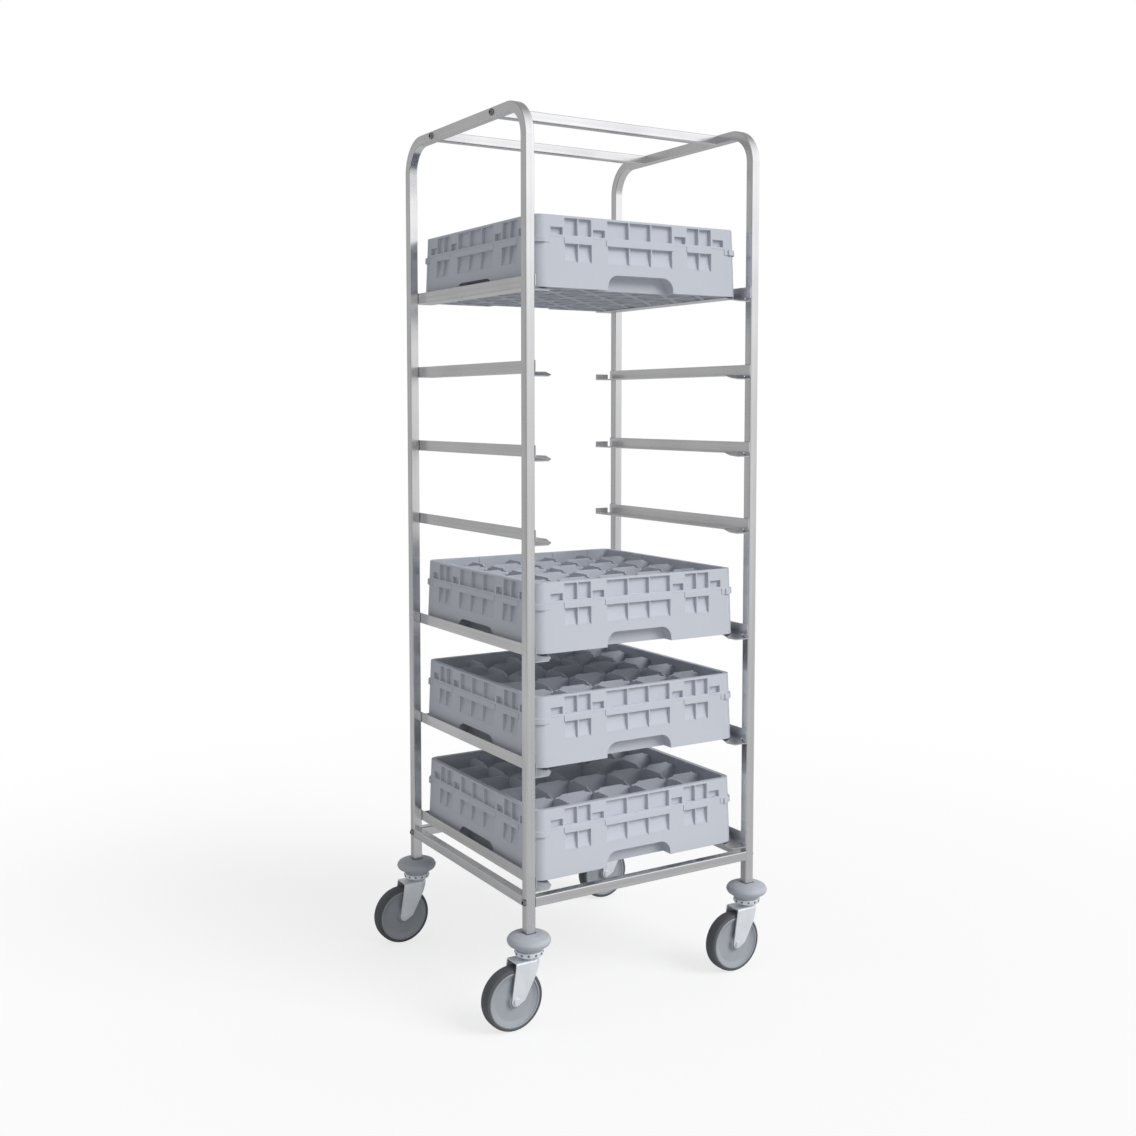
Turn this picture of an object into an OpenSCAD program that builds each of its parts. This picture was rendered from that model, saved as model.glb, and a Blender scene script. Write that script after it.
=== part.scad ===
// Trolley for glass racks: two bent side frames bolted together by cross bars, seven pairs of
// angle rails, four swivel castors with bumpers, and four compartment racks that slide in.
// X runs across the front, -Y is the front, +Z is up. The origin is on the floor, mid frame.

/* [Frame] */
// Side of the square tube
tube = 20; // [18:1:25]
// Wall of the square tube
tube_wall = 1.5; // [1:0.1:2.5]
// Outer radius of the bends at the top of a side frame
bend_r = 74; // [50:1:110]
// Distance of each top bar from the middle of the side frame
top_bar_y = 135; // [60:1:160]
// Height of the top of the side frames above the top rails
headroom = 333; // [200:1:400]
// Height of the base bars above the bumpers
base_rise = 71; // [66:1:120]

/* [Rails] */
// Gap between the base bars and the lowest rails
base_gap = 17; // [14:1:40]
// Spacing of the upper levels
close_pitch = 162.5; // [150:0.5:200]
// Spacing of the lower levels
wide_pitch = 226.5; // [190:0.5:260]
// Height of a rail's upright flange
rail_h = 23; // [18:1:30]
// Width of a rail's flat flange, which the rack slides on
rail_foot = 43; // [36:1:60]
// Thickness of the rail sheet
rail_t = 2; // [1.5:0.5:3]
// Length of the bent lead-in at the front of a rail
lead_in = 32; // [20:1:36]
// Angle by which the lead-in is bent down
lead_angle = 15; // [5:1:18]
// Corner cut off the free corner of the lead-in
lead_cut = 12; // [6:1:18]
// Height of the stop that is bent up at the rear of a rail
stop_h = 12; // [8:1:16]
// Relief between the stop and the upright flange
stop_relief = 9; // [5:1:15]

/* [Racks] */
// Width and depth of a rack at its foot
rack_w = 500; // [490:1:520]
// Height of a rack with its extender
rack_h = 140; // [135:1:150]
// Play between a rack's foot and the rail at each side
side_play = 10; // [7:0.5:14]
// Distance of a rack's foot from the front of the frame
front_set = 25; // [20:1:40]
// Play between a rack's foot and the rear stops
rear_play = 9; // [4:1:15]
// How far each wall leans in between foot and rim
rack_draft = 6; // [3:0.5:8]
// Radius of the upright corners at the foot
rack_corner_r = 28; // [22:1:40]
// Thickness of the walls below the pockets
rack_wall = 5; // [4.5:0.5:7]
// Thickness of the walls at the pockets
face_wall = 11; // [10:0.5:13]
// Thickness of the lattice floor
rack_floor = 3.5; // [2.5:0.5:6]
// Width of the bars of the lattice floor
lattice_bar = 7; // [5:0.5:10]
// Visible height of the extender above its seat on the base
extender_h = 42; // [40:1:46]
// Height of the extender's skirt that laps over the base
lap_h = 12; // [8:0.5:16]
// Thickness of the rebate in the base under the skirt
lap_t = 2; // [1.5:0.5:2.5]
// How far the skirt stands out from the wall
lap_proud = 1; // [0.5:0.5:2]
// How far the skirt's rounded corners stand out from the wall
lug_proud = 4; // [2:0.5:6]
// Compartments along each side
cells = 5; // [4:1:6]
// Thickness of the divider strips
divider_t = 2.5; // [2:0.5:4]
// Distance from the rim down to the top of the dividers
divider_drop = 8; // [4:1:15]
// Depth of the dips between the divider humps
divider_dip = 15; // [8:1:25]

/* [Rack faces] */
// Width of each of the three middle pockets
mid_pocket_w = 50; // [45:1:50]
// Width of each of the two pockets of a side pair
side_pocket_w = 29; // [25:1:30]
// Rib left between neighbouring pockets
pocket_rib = 3; // [2:0.5:4]
// Distance of a side pair's middle from the middle of the face
side_pair_x = 147; // [145:1:150]
// Depth of the pockets
pocket_deep = 8; // [5:0.5:8.5]
// Height of the extender's pockets
pocket_h = 33; // [28:1:34]
// Solid rim above the extender's pockets
rim_h = 4.5; // [3:0.5:6]
// Height of the base's pockets, which run out downwards
base_pocket_h = 36; // [30:1:45]
// Width of the latch windows
window_w = 27; // [22:1:27]
// Height of the latch windows
window_h = 14; // [10:0.5:18]
// Distance of the inner latch windows from the middle of the face
inner_window_x = 98.5; // [97:0.5:100]
// Distance of the outer latch windows from the middle of the face
outer_window_x = 196; // [195:0.5:198]
// Width of the notches in the skirt under the latch windows
notch_w = 33; // [28:1:34]
// Width of the hand hold
handle_w = 158; // [140:2:170]
// Height of the hand hold
handle_h = 30; // [26:1:34]
// Radius of the hand hold's upper corners
handle_r = 24; // [10:1:25]
// Depth of the hand hold from the face of the rack
handle_deep = 26; // [20:1:32]
// Wall of the housing behind the hand hold
handle_wall = 3; // [2:0.5:4]

/* [Castors] */
// Diameter of the wheels
wheel_d = 125; // [100:1:150]
// Width of the tyre
wheel_w = 30; // [26:1:34]
// Thickness of the tyre from hub to tread
tyre_t = 7.5; // [6:0.5:14]
// Radius of the tyre's shoulders
shoulder_r = 6; // [3:0.5:7]
// Room between the tyre and the crown of the fork
crown_gap = 9; // [7:1:20]
// Distance of the axle behind the swivel axis
trail = 39; // [34:1:44]
// Length of the hub between the fork legs
hub_l = 34; // [34:1:40]
// Thickness of the hub's rim under the tyre
hub_rim_t = 6; // [4:0.5:9]
// How far the hub's rim lies inside the sides of the tyre
hub_inset = 1.2; // [0.6:0.2:3]
// How far the hub's web lies inside its rim
web_inset = 4.5; // [2:0.5:6]
// Radius of the hub's boss
hub_boss_r = 13; // [11:1:18]
// Thickness of the fork sheet
fork_t = 3; // [2.5:0.5:4]
// Reach of the fork crown behind the swivel axis
crown_back = 38; // [34:1:42]
// Reach of the fork legs in front of the axle, at its height
leg_foot = 20; // [16:1:24]
// Radius of the fork leg around the axle
leg_tip_r = 10; // [9:1:14]
// Height of the raised race on the fork crown
race_h = 4; // [2:0.5:5]
// Diameter of the raised race
race_d = 28; // [22:1:34]
// Diameter of the swivel head
head_d = 56; // [50:1:64]
// Height of the swivel head
head_h = 13.5; // [8:0.5:16]
// Diameter of the kingpin
kingpin_d = 14; // [10:1:18]
// Diameter of the kingpin's rivet head under the crown
rivet_d = 25; // [20:1:28]
// Height of the kingpin's rivet head
rivet_h = 3; // [2:0.5:4]
// Diameter of the stem that fixes the castor in the post
stem_d = 12; // [8:1:13]
// Length of the plug on the stem inside the post
plug_l = 40; // [30:1:50]
// Diameter of the bumper
bumper_d = 88; // [80:1:100]
// Height of the bumper
bumper_h = 31; // [27:1:36]
// Radius of the bumper's rounded edge
bumper_rim_r = 9; // [7:1:12]
// Depth of the bumper's seat around the post
bumper_seat = 6; // [4:1:8]

/* [Fasteners] */
// Diameter of the frame bolts
bolt_d = 8; // [6:1:10]
// Diameter of the domed bolt heads
bolt_head_d = 14; // [12:1:17]
// Height of the domed bolt heads
bolt_head_h = 5; // [4:0.5:6]
// Length of the threaded inserts in the bar ends
insert_l = 24; // [18:1:40]
// Diameter of the wheel axle bolt
axle_d = 8; // [6:1:10]
// Diameter of the axle bolt's head and nut
axle_head_d = 13; // [11:1:16]
// Height of the axle bolt's head and nut
axle_head_h = 4; // [3:0.5:6]
// Diameter of the spacer sleeve that the wheel turns on
sleeve_d = 13; // [12:1:16]

/* [Fits] */
// Radial clearance of turning fits
running = 0.06; // [0.03:0.01:0.1]
// Clearance of pieces that are pushed together
push = 0.2; // [0.1:0.05:0.3]
// Gap between faces that pass each other
pass = 0.3; // [0.25:0.05:0.6]

/* [Hidden] */
$fn = 64;
overrun = 1;

// Castors
corner_names = ["front_left", "front_right", "rear_left", "rear_right"];
corners = [[-1, -1], [1, -1], [-1, 1], [1, 1]];
wheel_r = wheel_d / 2;
hub_r = wheel_r - tyre_t;
hub_rim_half = wheel_w / 2 - hub_inset;
hub_web_half = hub_rim_half - web_inset;
crown_z = wheel_d + crown_gap;
crown_top = crown_z + fork_t;
race_top = crown_top + race_h;
head_z = race_top + pass;
castor_h = head_z + head_h;
leg_in = hub_l / 2 + pass;
leg_out = leg_in + fork_t;
crown_front = leg_out;
tip_back_angle = 170;
tip_front_angle = -acos(leg_tip_r / leg_foot);

// Frame
levels = 7;
close_levels = 3;
frame_w = rack_w + 2 * (side_play + rail_t + tube);
frame_d = rack_w + front_set + rear_play + rail_t;
post_x = (frame_w - tube) / 2;
post_y = (frame_d - tube) / 2;
inner_w = frame_w - 2 * tube;
inner_d = frame_d - 2 * tube;
bore = tube - 2 * tube_wall;
foot_z = castor_h + bumper_h - bumper_seat;
base_bar_top = castor_h + bumper_h + base_rise;
base_bar_z = base_bar_top - tube / 2;
low_rail_z = base_bar_top + base_gap;
top_rail_z = low_rail_z + (levels - 1 - close_levels) * wide_pitch + close_levels * close_pitch;
frame_h = top_rail_z + rail_h + headroom;
top_bar_z = frame_h - tube / 2;
bolt_l = tube + insert_l - 2 * push;
sides = [-1, 1];

// Lower edge of the rails at a level counted from the top, starting at zero
function rail_z(i) = top_rail_z - min(i, close_levels) * close_pitch - max(i - close_levels, 0) * wide_pitch;

// Racks
loaded = concat([0], [for (i = [close_levels + 1 : levels - 1]) i]);
quarter_turns = [0, 90, 180, 270];
rack_y = frame_d / 2 - rail_t - rear_play - rack_w / 2;
base_top = rack_h - extender_h;
lap_z = base_top - lap_h;
corner_at = rack_w / 2 - rack_corner_r;
cell_pitch = 2 * (rack_half(rack_floor) - face_wall) / cells;
divider_z = handle_h + 2 * handle_wall;
divider_top = rack_h - divider_drop;
divider_low = divider_top - divider_dip;
divider_mid = (divider_z + divider_low) / 2;
// Run and rise of a hump's shoulder, as shares of a cell's pitch and of the dip
shoulder_shares = [[0, 0], [0.06, 0.42], [0.14, 0.78], [0.24, 1]];
shoulder_steps = len(shoulder_shares);
function rack_half(z) = rack_w / 2 - rack_draft * z / rack_h;
function divider_half(z) = rack_half(z) - face_wall - push;
function hump_edge(i) =
    i == 0 ? -divider_half(divider_low)
    : i == cells ? divider_half(divider_low)
    : (i - cells / 2) * cell_pitch;
function hump_point(edge, way, step) =
    [edge + way * step[0] * cell_pitch, divider_low + step[1] * divider_dip];
function base_pocket_y(z) = pocket_deep * (1 + (z - lap_z) / base_pocket_h) - rack_half(z);

steel = "#c9cbce";
zinc = "#d4d8de";
rack_grey = "#bfc5cf";
bumper_grey = "#8b9096";
hub_grey = "#969ba3";
tyre_grey = "#4b4d50";

// Square tube along Z from the floor of its own frame
module tube_length(length) {
    translate([-tube / 2, -tube / 2, 0])
        difference() {
            cube([tube, tube, length]);
            translate([tube_wall, tube_wall, -overrun])
                cube([bore, bore, length + 2 * overrun]);
        }
}

// Quarter bend of the square tube, from the +Y direction up to +Z about the X axis
module tube_bend() {
    rotate([90, 0, 90])
        rotate_extrude(angle = 90)
            translate([bend_r - tube, -tube / 2])
                difference() {
                    square(tube);
                    translate([tube_wall, tube_wall])
                        square(bore);
                }
}

// Holes along X for the bolts that hold the cross bars
module bolt_holes() {
    for (end = sides) {
        translate([-tube, end * top_bar_y, top_bar_z])
            rotate([0, 90, 0])
                cylinder(d = bolt_d + 2 * push, h = 2 * tube);
        translate([-tube, end * post_y, base_bar_z])
            rotate([0, 90, 0])
                cylinder(d = bolt_d + 2 * push, h = 2 * tube);
    }
}

// One bent side frame: two posts and the top run, in the plane X = 0
module side_tube() {
    difference() {
        union() {
            for (end = sides)
                translate([0, end * post_y, foot_z])
                    tube_length(frame_h - bend_r - foot_z);
            translate([0, frame_d / 2 - bend_r, frame_h - bend_r])
                tube_bend();
            mirror([0, 1, 0])
                translate([0, frame_d / 2 - bend_r, frame_h - bend_r])
                    tube_bend();
            translate([0, frame_d / 2 - bend_r, top_bar_z])
                rotate([90, 0, 0])
                    tube_length(frame_d - 2 * bend_r);
        }
        bolt_holes();
    }
}

module left_side_tube() {
    color(steel) translate([-post_x, 0, 0]) side_tube();
}

module right_side_tube() {
    color(steel) translate([post_x, 0, 0]) side_tube();
}

// Base bar along a side, welded between the posts
module side_base_bar(side) {
    color(steel)
        translate([side * post_x, inner_d / 2, base_bar_z])
            rotate([90, 0, 0])
                tube_length(inner_d);
}

// Cross bar between the side frames, at a depth and a height
module cross_bar(y, z) {
    color(steel)
        translate([-inner_w / 2, y, z])
            rotate([0, 90, 0])
                tube_length(inner_w);
}

// Places of the bolted joints: the side, the depth and the height of each bar end
bar_ends = [
    for (side = sides, end = sides, level = [0, 1])
        [side, level == 0 ? end * post_y : end * top_bar_y, level == 0 ? base_bar_z : top_bar_z]
];

// Threaded plug in the end of a cross bar, pointing along +X from its outer face
module bar_end_insert() {
    rotate([0, 90, 0])
        difference() {
            translate([-(bore / 2 - push), -(bore / 2 - push), 0])
                cube([bore - 2 * push, bore - 2 * push, insert_l]);
            translate([0, 0, -overrun])
                cylinder(d = bolt_d + 2 * running, h = insert_l + 2 * overrun);
        }
}

// Bolt along +X: domed head outside the post and shank into the bar end
module frame_bolt() {
    rotate([0, 90, 0]) {
        intersection() {
            translate([0, 0, -bolt_head_h])
                cylinder(d = bolt_head_d, h = bolt_head_h);
            translate([0, 0, bolt_head_d / 2 - bolt_head_h])
                sphere(d = bolt_head_d + bolt_head_h / 2);
        }
        cylinder(d = bolt_d, h = bolt_l);
    }
}

module bar_end_inserts() {
    color(zinc)
        for (end = bar_ends)
            translate([end[0] * inner_w / 2, end[1], end[2]])
                rotate([0, 0, end[0] > 0 ? 180 : 0])
                    bar_end_insert();
}

module frame_bolts() {
    color(zinc)
        for (end = bar_ends)
            translate([end[0] * frame_w / 2, end[1], end[2]])
                rotate([0, 0, end[0] > 0 ? 180 : 0])
                    frame_bolt();
}

// Angle rail on the inner faces of the left posts: its front end is bent down to lead a rack
// in, and a stop is bent up at its rear end
module rail(i) {
    color(steel)
        translate([-inner_w / 2, 0, rail_z(i)]) {
            translate([0, -frame_d / 2, 0])
                cube([rail_t, frame_d, rail_h]);
            translate([0, lead_in - frame_d / 2, 0])
                cube([rail_foot, frame_d - lead_in, rail_t]);
            translate([0, lead_in - frame_d / 2, rail_t])
                rotate([lead_angle, 0, 0])
                    translate([0, 0, -rail_t])
                        linear_extrude(rail_t)
                            polygon([
                                [0, 0],
                                [0, -lead_in],
                                [rail_foot - lead_cut, -lead_in],
                                [rail_foot, lead_cut - lead_in],
                                [rail_foot, 0]
                            ]);
            translate([stop_relief, frame_d / 2 - rail_t, 0])
                cube([rail_foot - stop_relief, rail_t, stop_h + rail_t]);
        }
}

module left_rail(i) {
    rail(i);
}

module right_rail(i) {
    mirror([1, 0, 0]) rail(i);
}

// Puts its children at a corner post's axis
module at_post(corner) {
    translate([corners[corner][0] * post_x, corners[corner][1] * post_y, 0])
        children();
}

// Puts its children on the axle of a corner's wheel, with local Z along the axle
module at_axle(corner) {
    at_post(corner)
        translate([-trail, 0, wheel_r])
            rotate([90, 0, 0])
                children();
}

// Round bumper with a full edge, a tapered underside and a square seat for the post
module bumper(corner) {
    rim_x = bumper_d / 2 - bumper_rim_r;
    rim_z = castor_h + bumper_h - bumper_rim_r;
    color(bumper_grey)
        at_post(corner)
            difference() {
                rotate_extrude() {
                    translate([rim_x, rim_z])
                        circle(bumper_rim_r);
                    polygon([
                        [stem_d / 2 + push, castor_h],
                        [head_d / 2, castor_h],
                        [rim_x + bumper_rim_r * cos(45), rim_z - bumper_rim_r * sin(45)],
                        [rim_x, rim_z + bumper_rim_r],
                        [stem_d / 2 + push, rim_z + bumper_rim_r]
                    ]);
                }
                translate([-tube / 2 - push, -tube / 2 - push, foot_z])
                    cube([tube + 2 * push, tube + 2 * push, bumper_h]);
            }
}

// Fixed half of the swivel: stem and plug in the post, race cup, kingpin and its rivet
module castor_head(corner) {
    plug = bore - 2 * push;
    color(zinc)
        at_post(corner) {
            translate([0, 0, head_z])
                cylinder(d = head_d, h = head_h);
            translate([0, 0, castor_h])
                cylinder(d = stem_d, h = foot_z + push - castor_h);
            translate([-plug / 2, -plug / 2, foot_z + push])
                cube([plug, plug, plug_l]);
            translate([0, 0, crown_z - pass])
                cylinder(d = kingpin_d, h = head_z + pass - crown_z);
            translate([0, 0, crown_z - pass - rivet_h])
                cylinder(d = rivet_d, h = rivet_h);
        }
}

// Outline of a fork leg seen from the side, with the swivel axis at zero
module leg_outline() {
    translate([-trail, wheel_r])
        circle(leg_tip_r);
    polygon([
        [-crown_back, crown_top],
        [crown_front + overrun, crown_top],
        [leg_foot - trail, wheel_r],
        [leg_tip_r * cos(tip_front_angle) - trail, wheel_r + leg_tip_r * sin(tip_front_angle)],
        [leg_tip_r * cos(tip_back_angle) - trail, wheel_r + leg_tip_r * sin(tip_back_angle)]
    ]);
}

// Plan of the fork, open at the rear and round at the front, as wide as its reach from the middle
module fork_plan(reach, rear) {
    translate([-rear, -reach])
        square([rear, 2 * reach]);
    circle(reach);
}

// Pressed fork: crown, two legs that join in a round front, and the raised race
module fork(corner) {
    leg_rear = trail + leg_tip_r + overrun;
    color(zinc)
        at_post(corner)
            difference() {
                union() {
                    intersection() {
                        linear_extrude(crown_top)
                            difference() {
                                fork_plan(leg_out, leg_rear);
                                fork_plan(leg_in, leg_rear + overrun);
                            }
                        rotate([90, 0, 0])
                            linear_extrude(2 * leg_out + overrun, center = true)
                                leg_outline();
                    }
                    translate([0, 0, crown_z])
                        linear_extrude(fork_t)
                            fork_plan(leg_out, crown_back);
                    translate([0, 0, crown_z])
                        cylinder(d = race_d, h = race_top - crown_z);
                }
                translate([0, 0, crown_z - overrun])
                    cylinder(d = kingpin_d + 2 * running, h = race_top - crown_z + 2 * overrun);
                translate([-trail, 0, wheel_r])
                    rotate([90, 0, 0])
                        cylinder(d = axle_d + 2 * push, h = 4 * leg_out, center = true);
            }
}

// Axle bolt, nut and the spacer sleeve that is clamped between the fork legs
module axle_set(corner) {
    color(zinc)
        at_axle(corner) {
            translate([0, 0, -leg_out - axle_head_h])
                cylinder(d = axle_d, h = 2 * leg_out + 2 * axle_head_h);
            translate([0, 0, leg_out])
                cylinder(d = axle_head_d, h = axle_head_h);
            translate([0, 0, -leg_out - axle_head_h])
                difference() {
                    cylinder(d = axle_head_d, h = axle_head_h, $fn = 6);
                    translate([0, 0, -overrun])
                        cylinder(d = axle_d + 2 * running, h = axle_head_h + 2 * overrun);
                }
            difference() {
                cylinder(d = sleeve_d, h = 2 * leg_in, center = true);
                cylinder(d = axle_d + 2 * push, h = 2 * leg_in + 2 * overrun, center = true);
            }
        }
}

// Hub with its rim, dished web and boss
module hub(corner) {
    bore_r = sleeve_d / 2 + running;
    color(hub_grey)
        at_axle(corner)
            rotate_extrude()
                polygon([
                    [bore_r, -hub_l / 2],
                    [hub_boss_r, -hub_l / 2],
                    [hub_boss_r + web_inset, -hub_web_half],
                    [hub_r - hub_rim_t, -hub_web_half],
                    [hub_r - hub_rim_t, -hub_rim_half],
                    [hub_r, -hub_rim_half],
                    [hub_r, hub_rim_half],
                    [hub_r - hub_rim_t, hub_rim_half],
                    [hub_r - hub_rim_t, hub_web_half],
                    [hub_boss_r + web_inset, hub_web_half],
                    [hub_boss_r, hub_l / 2],
                    [bore_r, hub_l / 2]
                ]);
}

// Tyre with rounded shoulders
module tyre(corner) {
    color(tyre_grey)
        at_axle(corner)
            rotate_extrude()
                intersection() {
                    translate([hub_r, -wheel_w / 2])
                        square([tyre_t, wheel_w]);
                    union() {
                        translate([0, -wheel_w / 2])
                            square([wheel_r - shoulder_r, wheel_w]);
                        translate([0, shoulder_r - wheel_w / 2])
                            square([wheel_r, wheel_w - 2 * shoulder_r]);
                        for (side = sides)
                            translate([wheel_r - shoulder_r, side * (wheel_w / 2 - shoulder_r)])
                                circle(shoulder_r);
                    }
                }
}

// Solid with the leaning walls and rounded corners of a rack, between two heights and their insets
module drafted_block(z0, z1, inset, top_inset) {
    half0 = rack_half(z0) - inset;
    half1 = rack_half(z1) - (is_undef(top_inset) ? inset : top_inset);
    for (turn = [0, 90])
        rotate([90, 0, turn])
            translate([0, 0, -corner_at])
                linear_extrude(2 * corner_at)
                    polygon([[-half0, z0], [half0, z0], [half1, z1], [-half1, z1]]);
    for (x = sides, y = sides)
        translate([x * corner_at, y * corner_at, z0])
            cylinder(h = z1 - z0, r1 = half0 - corner_at, r2 = half1 - corner_at);
}

// Puts its children on each of the four faces, drawn for the front face
module on_faces() {
    for (turn = quarter_turns)
        rotate([0, 0, turn])
            children();
}

// Left edge and width of each pocket on a face
pockets = concat(
    [for (i = [-1 : 1]) [i * (mid_pocket_w + pocket_rib) - mid_pocket_w / 2, mid_pocket_w]],
    [for (side = sides, i = [-1, 0])
        [side * side_pair_x + i * (side_pocket_w + pocket_rib) + pocket_rib / 2, side_pocket_w]]
);
windows = [for (side = sides, x = [inner_window_x, outer_window_x]) side * x];

// Blocks at the notches of the skirt, between two heights, widened by a clearance
module notch_blocks(z0, z1, clearance) {
    on_faces()
        for (x = windows)
            translate([x - notch_w / 2 - clearance, -rack_w / 2 - lug_proud, z0])
                cube([notch_w + 2 * clearance, 2 * rack_corner_r, z1 - z0]);
}

// Outline of a hand hold, standing on the foot of the rack
module handle_outline() {
    translate([-handle_w / 2, -overrun])
        square([handle_w, handle_h - handle_r + overrun]);
    translate([handle_r - handle_w / 2, 0])
        square([handle_w - 2 * handle_r, handle_h]);
    for (side = sides)
        translate([side * (handle_w / 2 - handle_r), handle_h - handle_r])
            circle(handle_r);
}

// Gaps of the lattice floor in one cell, with blunt ends that clear the rounded corners
module lattice_gaps() {
    reach = cell_pitch / 2 - lattice_bar / 2;
    end = reach - rack_corner_r / 2;
    for (turn = quarter_turns)
        rotate(turn)
            polygon([
                [0, lattice_bar],
                [end, end + lattice_bar],
                [end, reach],
                [-end, reach],
                [-end, end + lattice_bar]
            ]);
}

// Base of a rack at its own foot: lattice floor, walls, rebate and hand holds
module rack_base_shape() {
    foot_y = -rack_w / 2;
    pocket_foot_z = lap_z - base_pocket_h;
    run_out_z = pocket_foot_z - overrun;
    housing_w = handle_w + 2 * handle_wall;
    housing_deep = handle_deep + handle_wall;
    gap_cells = [for (i = [0 : cells - 1]) (i - (cells - 1) / 2) * cell_pitch];
    difference() {
        union() {
            drafted_block(0, lap_z, 0);
            drafted_block(lap_z, base_top, lap_t);
            intersection() {
                drafted_block(lap_z, base_top, 0);
                notch_blocks(lap_z, base_top, 0);
            }
        }
        difference() {
            union() {
                drafted_block(rack_floor, pocket_foot_z, rack_wall);
                drafted_block(pocket_foot_z, lap_z, rack_wall, face_wall);
                drafted_block(lap_z, base_top + overrun, face_wall);
            }
            on_faces()
                translate([-housing_w / 2, foot_y, 0])
                    cube([housing_w, housing_deep, handle_h + handle_wall]);
        }
        on_faces() {
            translate([0, foot_y + handle_deep, 0])
                rotate([90, 0, 0])
                    linear_extrude(handle_deep + overrun)
                        handle_outline();
            for (pocket = pockets)
                translate([pocket[0], 0, 0])
                    rotate([90, 0, 90])
                        linear_extrude(pocket[1])
                            polygon([
                                [base_pocket_y(run_out_z), run_out_z],
                                [foot_y - overrun, run_out_z],
                                [foot_y - overrun, lap_z],
                                [base_pocket_y(lap_z), lap_z]
                            ]);
        }
        translate([0, 0, -overrun])
            linear_extrude(rack_floor + 2 * overrun)
                difference() {
                    for (x = gap_cells, y = gap_cells)
                        translate([x, y])
                            lattice_gaps();
                    for (turn = quarter_turns)
                        rotate(turn)
                            translate([-housing_w / 2 - lattice_bar, foot_y])
                                square([housing_w + 2 * lattice_bar, housing_deep + lattice_bar]);
                }
    }
}

// Extender of a rack: rim, pockets, latch windows and the skirt that laps over the base
module rack_extender_shape() {
    pocket_z = rack_h - rim_h - pocket_h;
    difference() {
        union() {
            drafted_block(base_top, rack_h, 0);
            drafted_block(lap_z + push, base_top, -lap_proud);
            intersection() {
                drafted_block(lap_z + push, base_top, -lug_proud);
                for (x = sides, y = sides)
                    translate([x * rack_w / 2, y * rack_w / 2, base_top])
                        cube(2 * rack_corner_r, center = true);
            }
        }
        drafted_block(lap_z - overrun, rack_h + overrun, face_wall);
        drafted_block(lap_z - overrun, base_top, lap_t - push);
        notch_blocks(lap_z - overrun, base_top, push);
        on_faces() {
            for (pocket = pockets)
                translate([pocket[0], 0, 0])
                    rotate([90, 0, 90])
                        linear_extrude(pocket[1])
                            polygon([
                                [pocket_deep - rack_half(pocket_z), pocket_z],
                                [-rack_half(0), pocket_z],
                                [-rack_half(0), pocket_z + pocket_h],
                                [pocket_deep - rack_half(pocket_z + pocket_h), pocket_z + pocket_h]
                            ]);
            for (x = windows)
                translate([x - window_w / 2, -rack_w / 2, pocket_z])
                    cube([window_w, rack_w / 2 - rack_half(pocket_z) + pocket_deep, window_h]);
        }
    }
}

// One divider strip with a hump over each compartment, standing along X
module divider_strip() {
    rotate([90, 0, 0])
        translate([0, 0, -divider_t / 2])
            linear_extrude(divider_t)
                polygon(concat(
                    [[-divider_half(divider_z), divider_z], [divider_half(divider_z), divider_z]],
                    [for (i = [cells : -1 : 1], way = [-1, 1], k = [0 : shoulder_steps - 1])
                        let (step = shoulder_shares[way < 0 ? k : shoulder_steps - 1 - k])
                        if (way > 0 || k > 0 || i == cells)
                            hump_point(hump_edge(way < 0 ? i : i - 1), way, step)]
                ));
}

// Crossed divider strips, half lapped into each other
module rack_dividers_shape() {
    slot = divider_t + 2 * push;
    crossings = [for (i = [1 : cells - 1]) (i - cells / 2) * cell_pitch];
    for (y = crossings)
        translate([0, y, 0])
            difference() {
                divider_strip();
                for (x = crossings)
                    translate([x - slot / 2, -divider_t, divider_mid])
                        cube([slot, 2 * divider_t, divider_top]);
            }
    for (x = crossings)
        translate([x, 0, 0])
            rotate([0, 0, 90])
                difference() {
                    divider_strip();
                    for (y = crossings)
                        translate([y - slot / 2, -divider_t, 0])
                            cube([slot, 2 * divider_t, divider_mid + push]);
                }
}

// Puts its children on the rails of a level
module on_level(i) {
    color(rack_grey)
        translate([0, rack_y, rail_z(i) + rail_t])
            children();
}

module rack_base(i) {
    on_level(i) rack_base_shape();
}

module rack_extender(i) {
    on_level(i) rack_extender_shape();
}

module rack_dividers(i) {
    on_level(i) rack_dividers_shape();
}

left_side_tube();
right_side_tube();
side_base_bar(-1);  // left_base_bar
side_base_bar(1);  // right_base_bar
cross_bar(-post_y, base_bar_z);  // front_base_bar
cross_bar(post_y, base_bar_z);  // rear_base_bar
cross_bar(-top_bar_y, top_bar_z);  // front_top_bar
cross_bar(top_bar_y, top_bar_z);  // rear_top_bar
bar_end_inserts();
frame_bolts();
for (i = [0 : levels - 1]) {
    left_rail(i);
    right_rail(i);
}
for (i = [0 : len(corner_names) - 1]) {
    bumper(i);
    castor_head(i);
    fork(i);
    axle_set(i);
    hub(i);
    tyre(i);
}
for (i = loaded) {
    rack_base(i);
    rack_extender(i);
    rack_dividers(i);
}
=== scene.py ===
"""Looks of a trolley for glass racks: brushed tube frame, angle rails, castors and grey racks.

Every piece is built in metres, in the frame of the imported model, and rides on one of its bodies.
"""

import logging
import math
from dataclasses import dataclass
from enum import Enum
from typing import Any, Callable, Iterable, Optional, Sequence, Union

import bmesh
import bpy
from mathutils import Matrix, Vector


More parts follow.
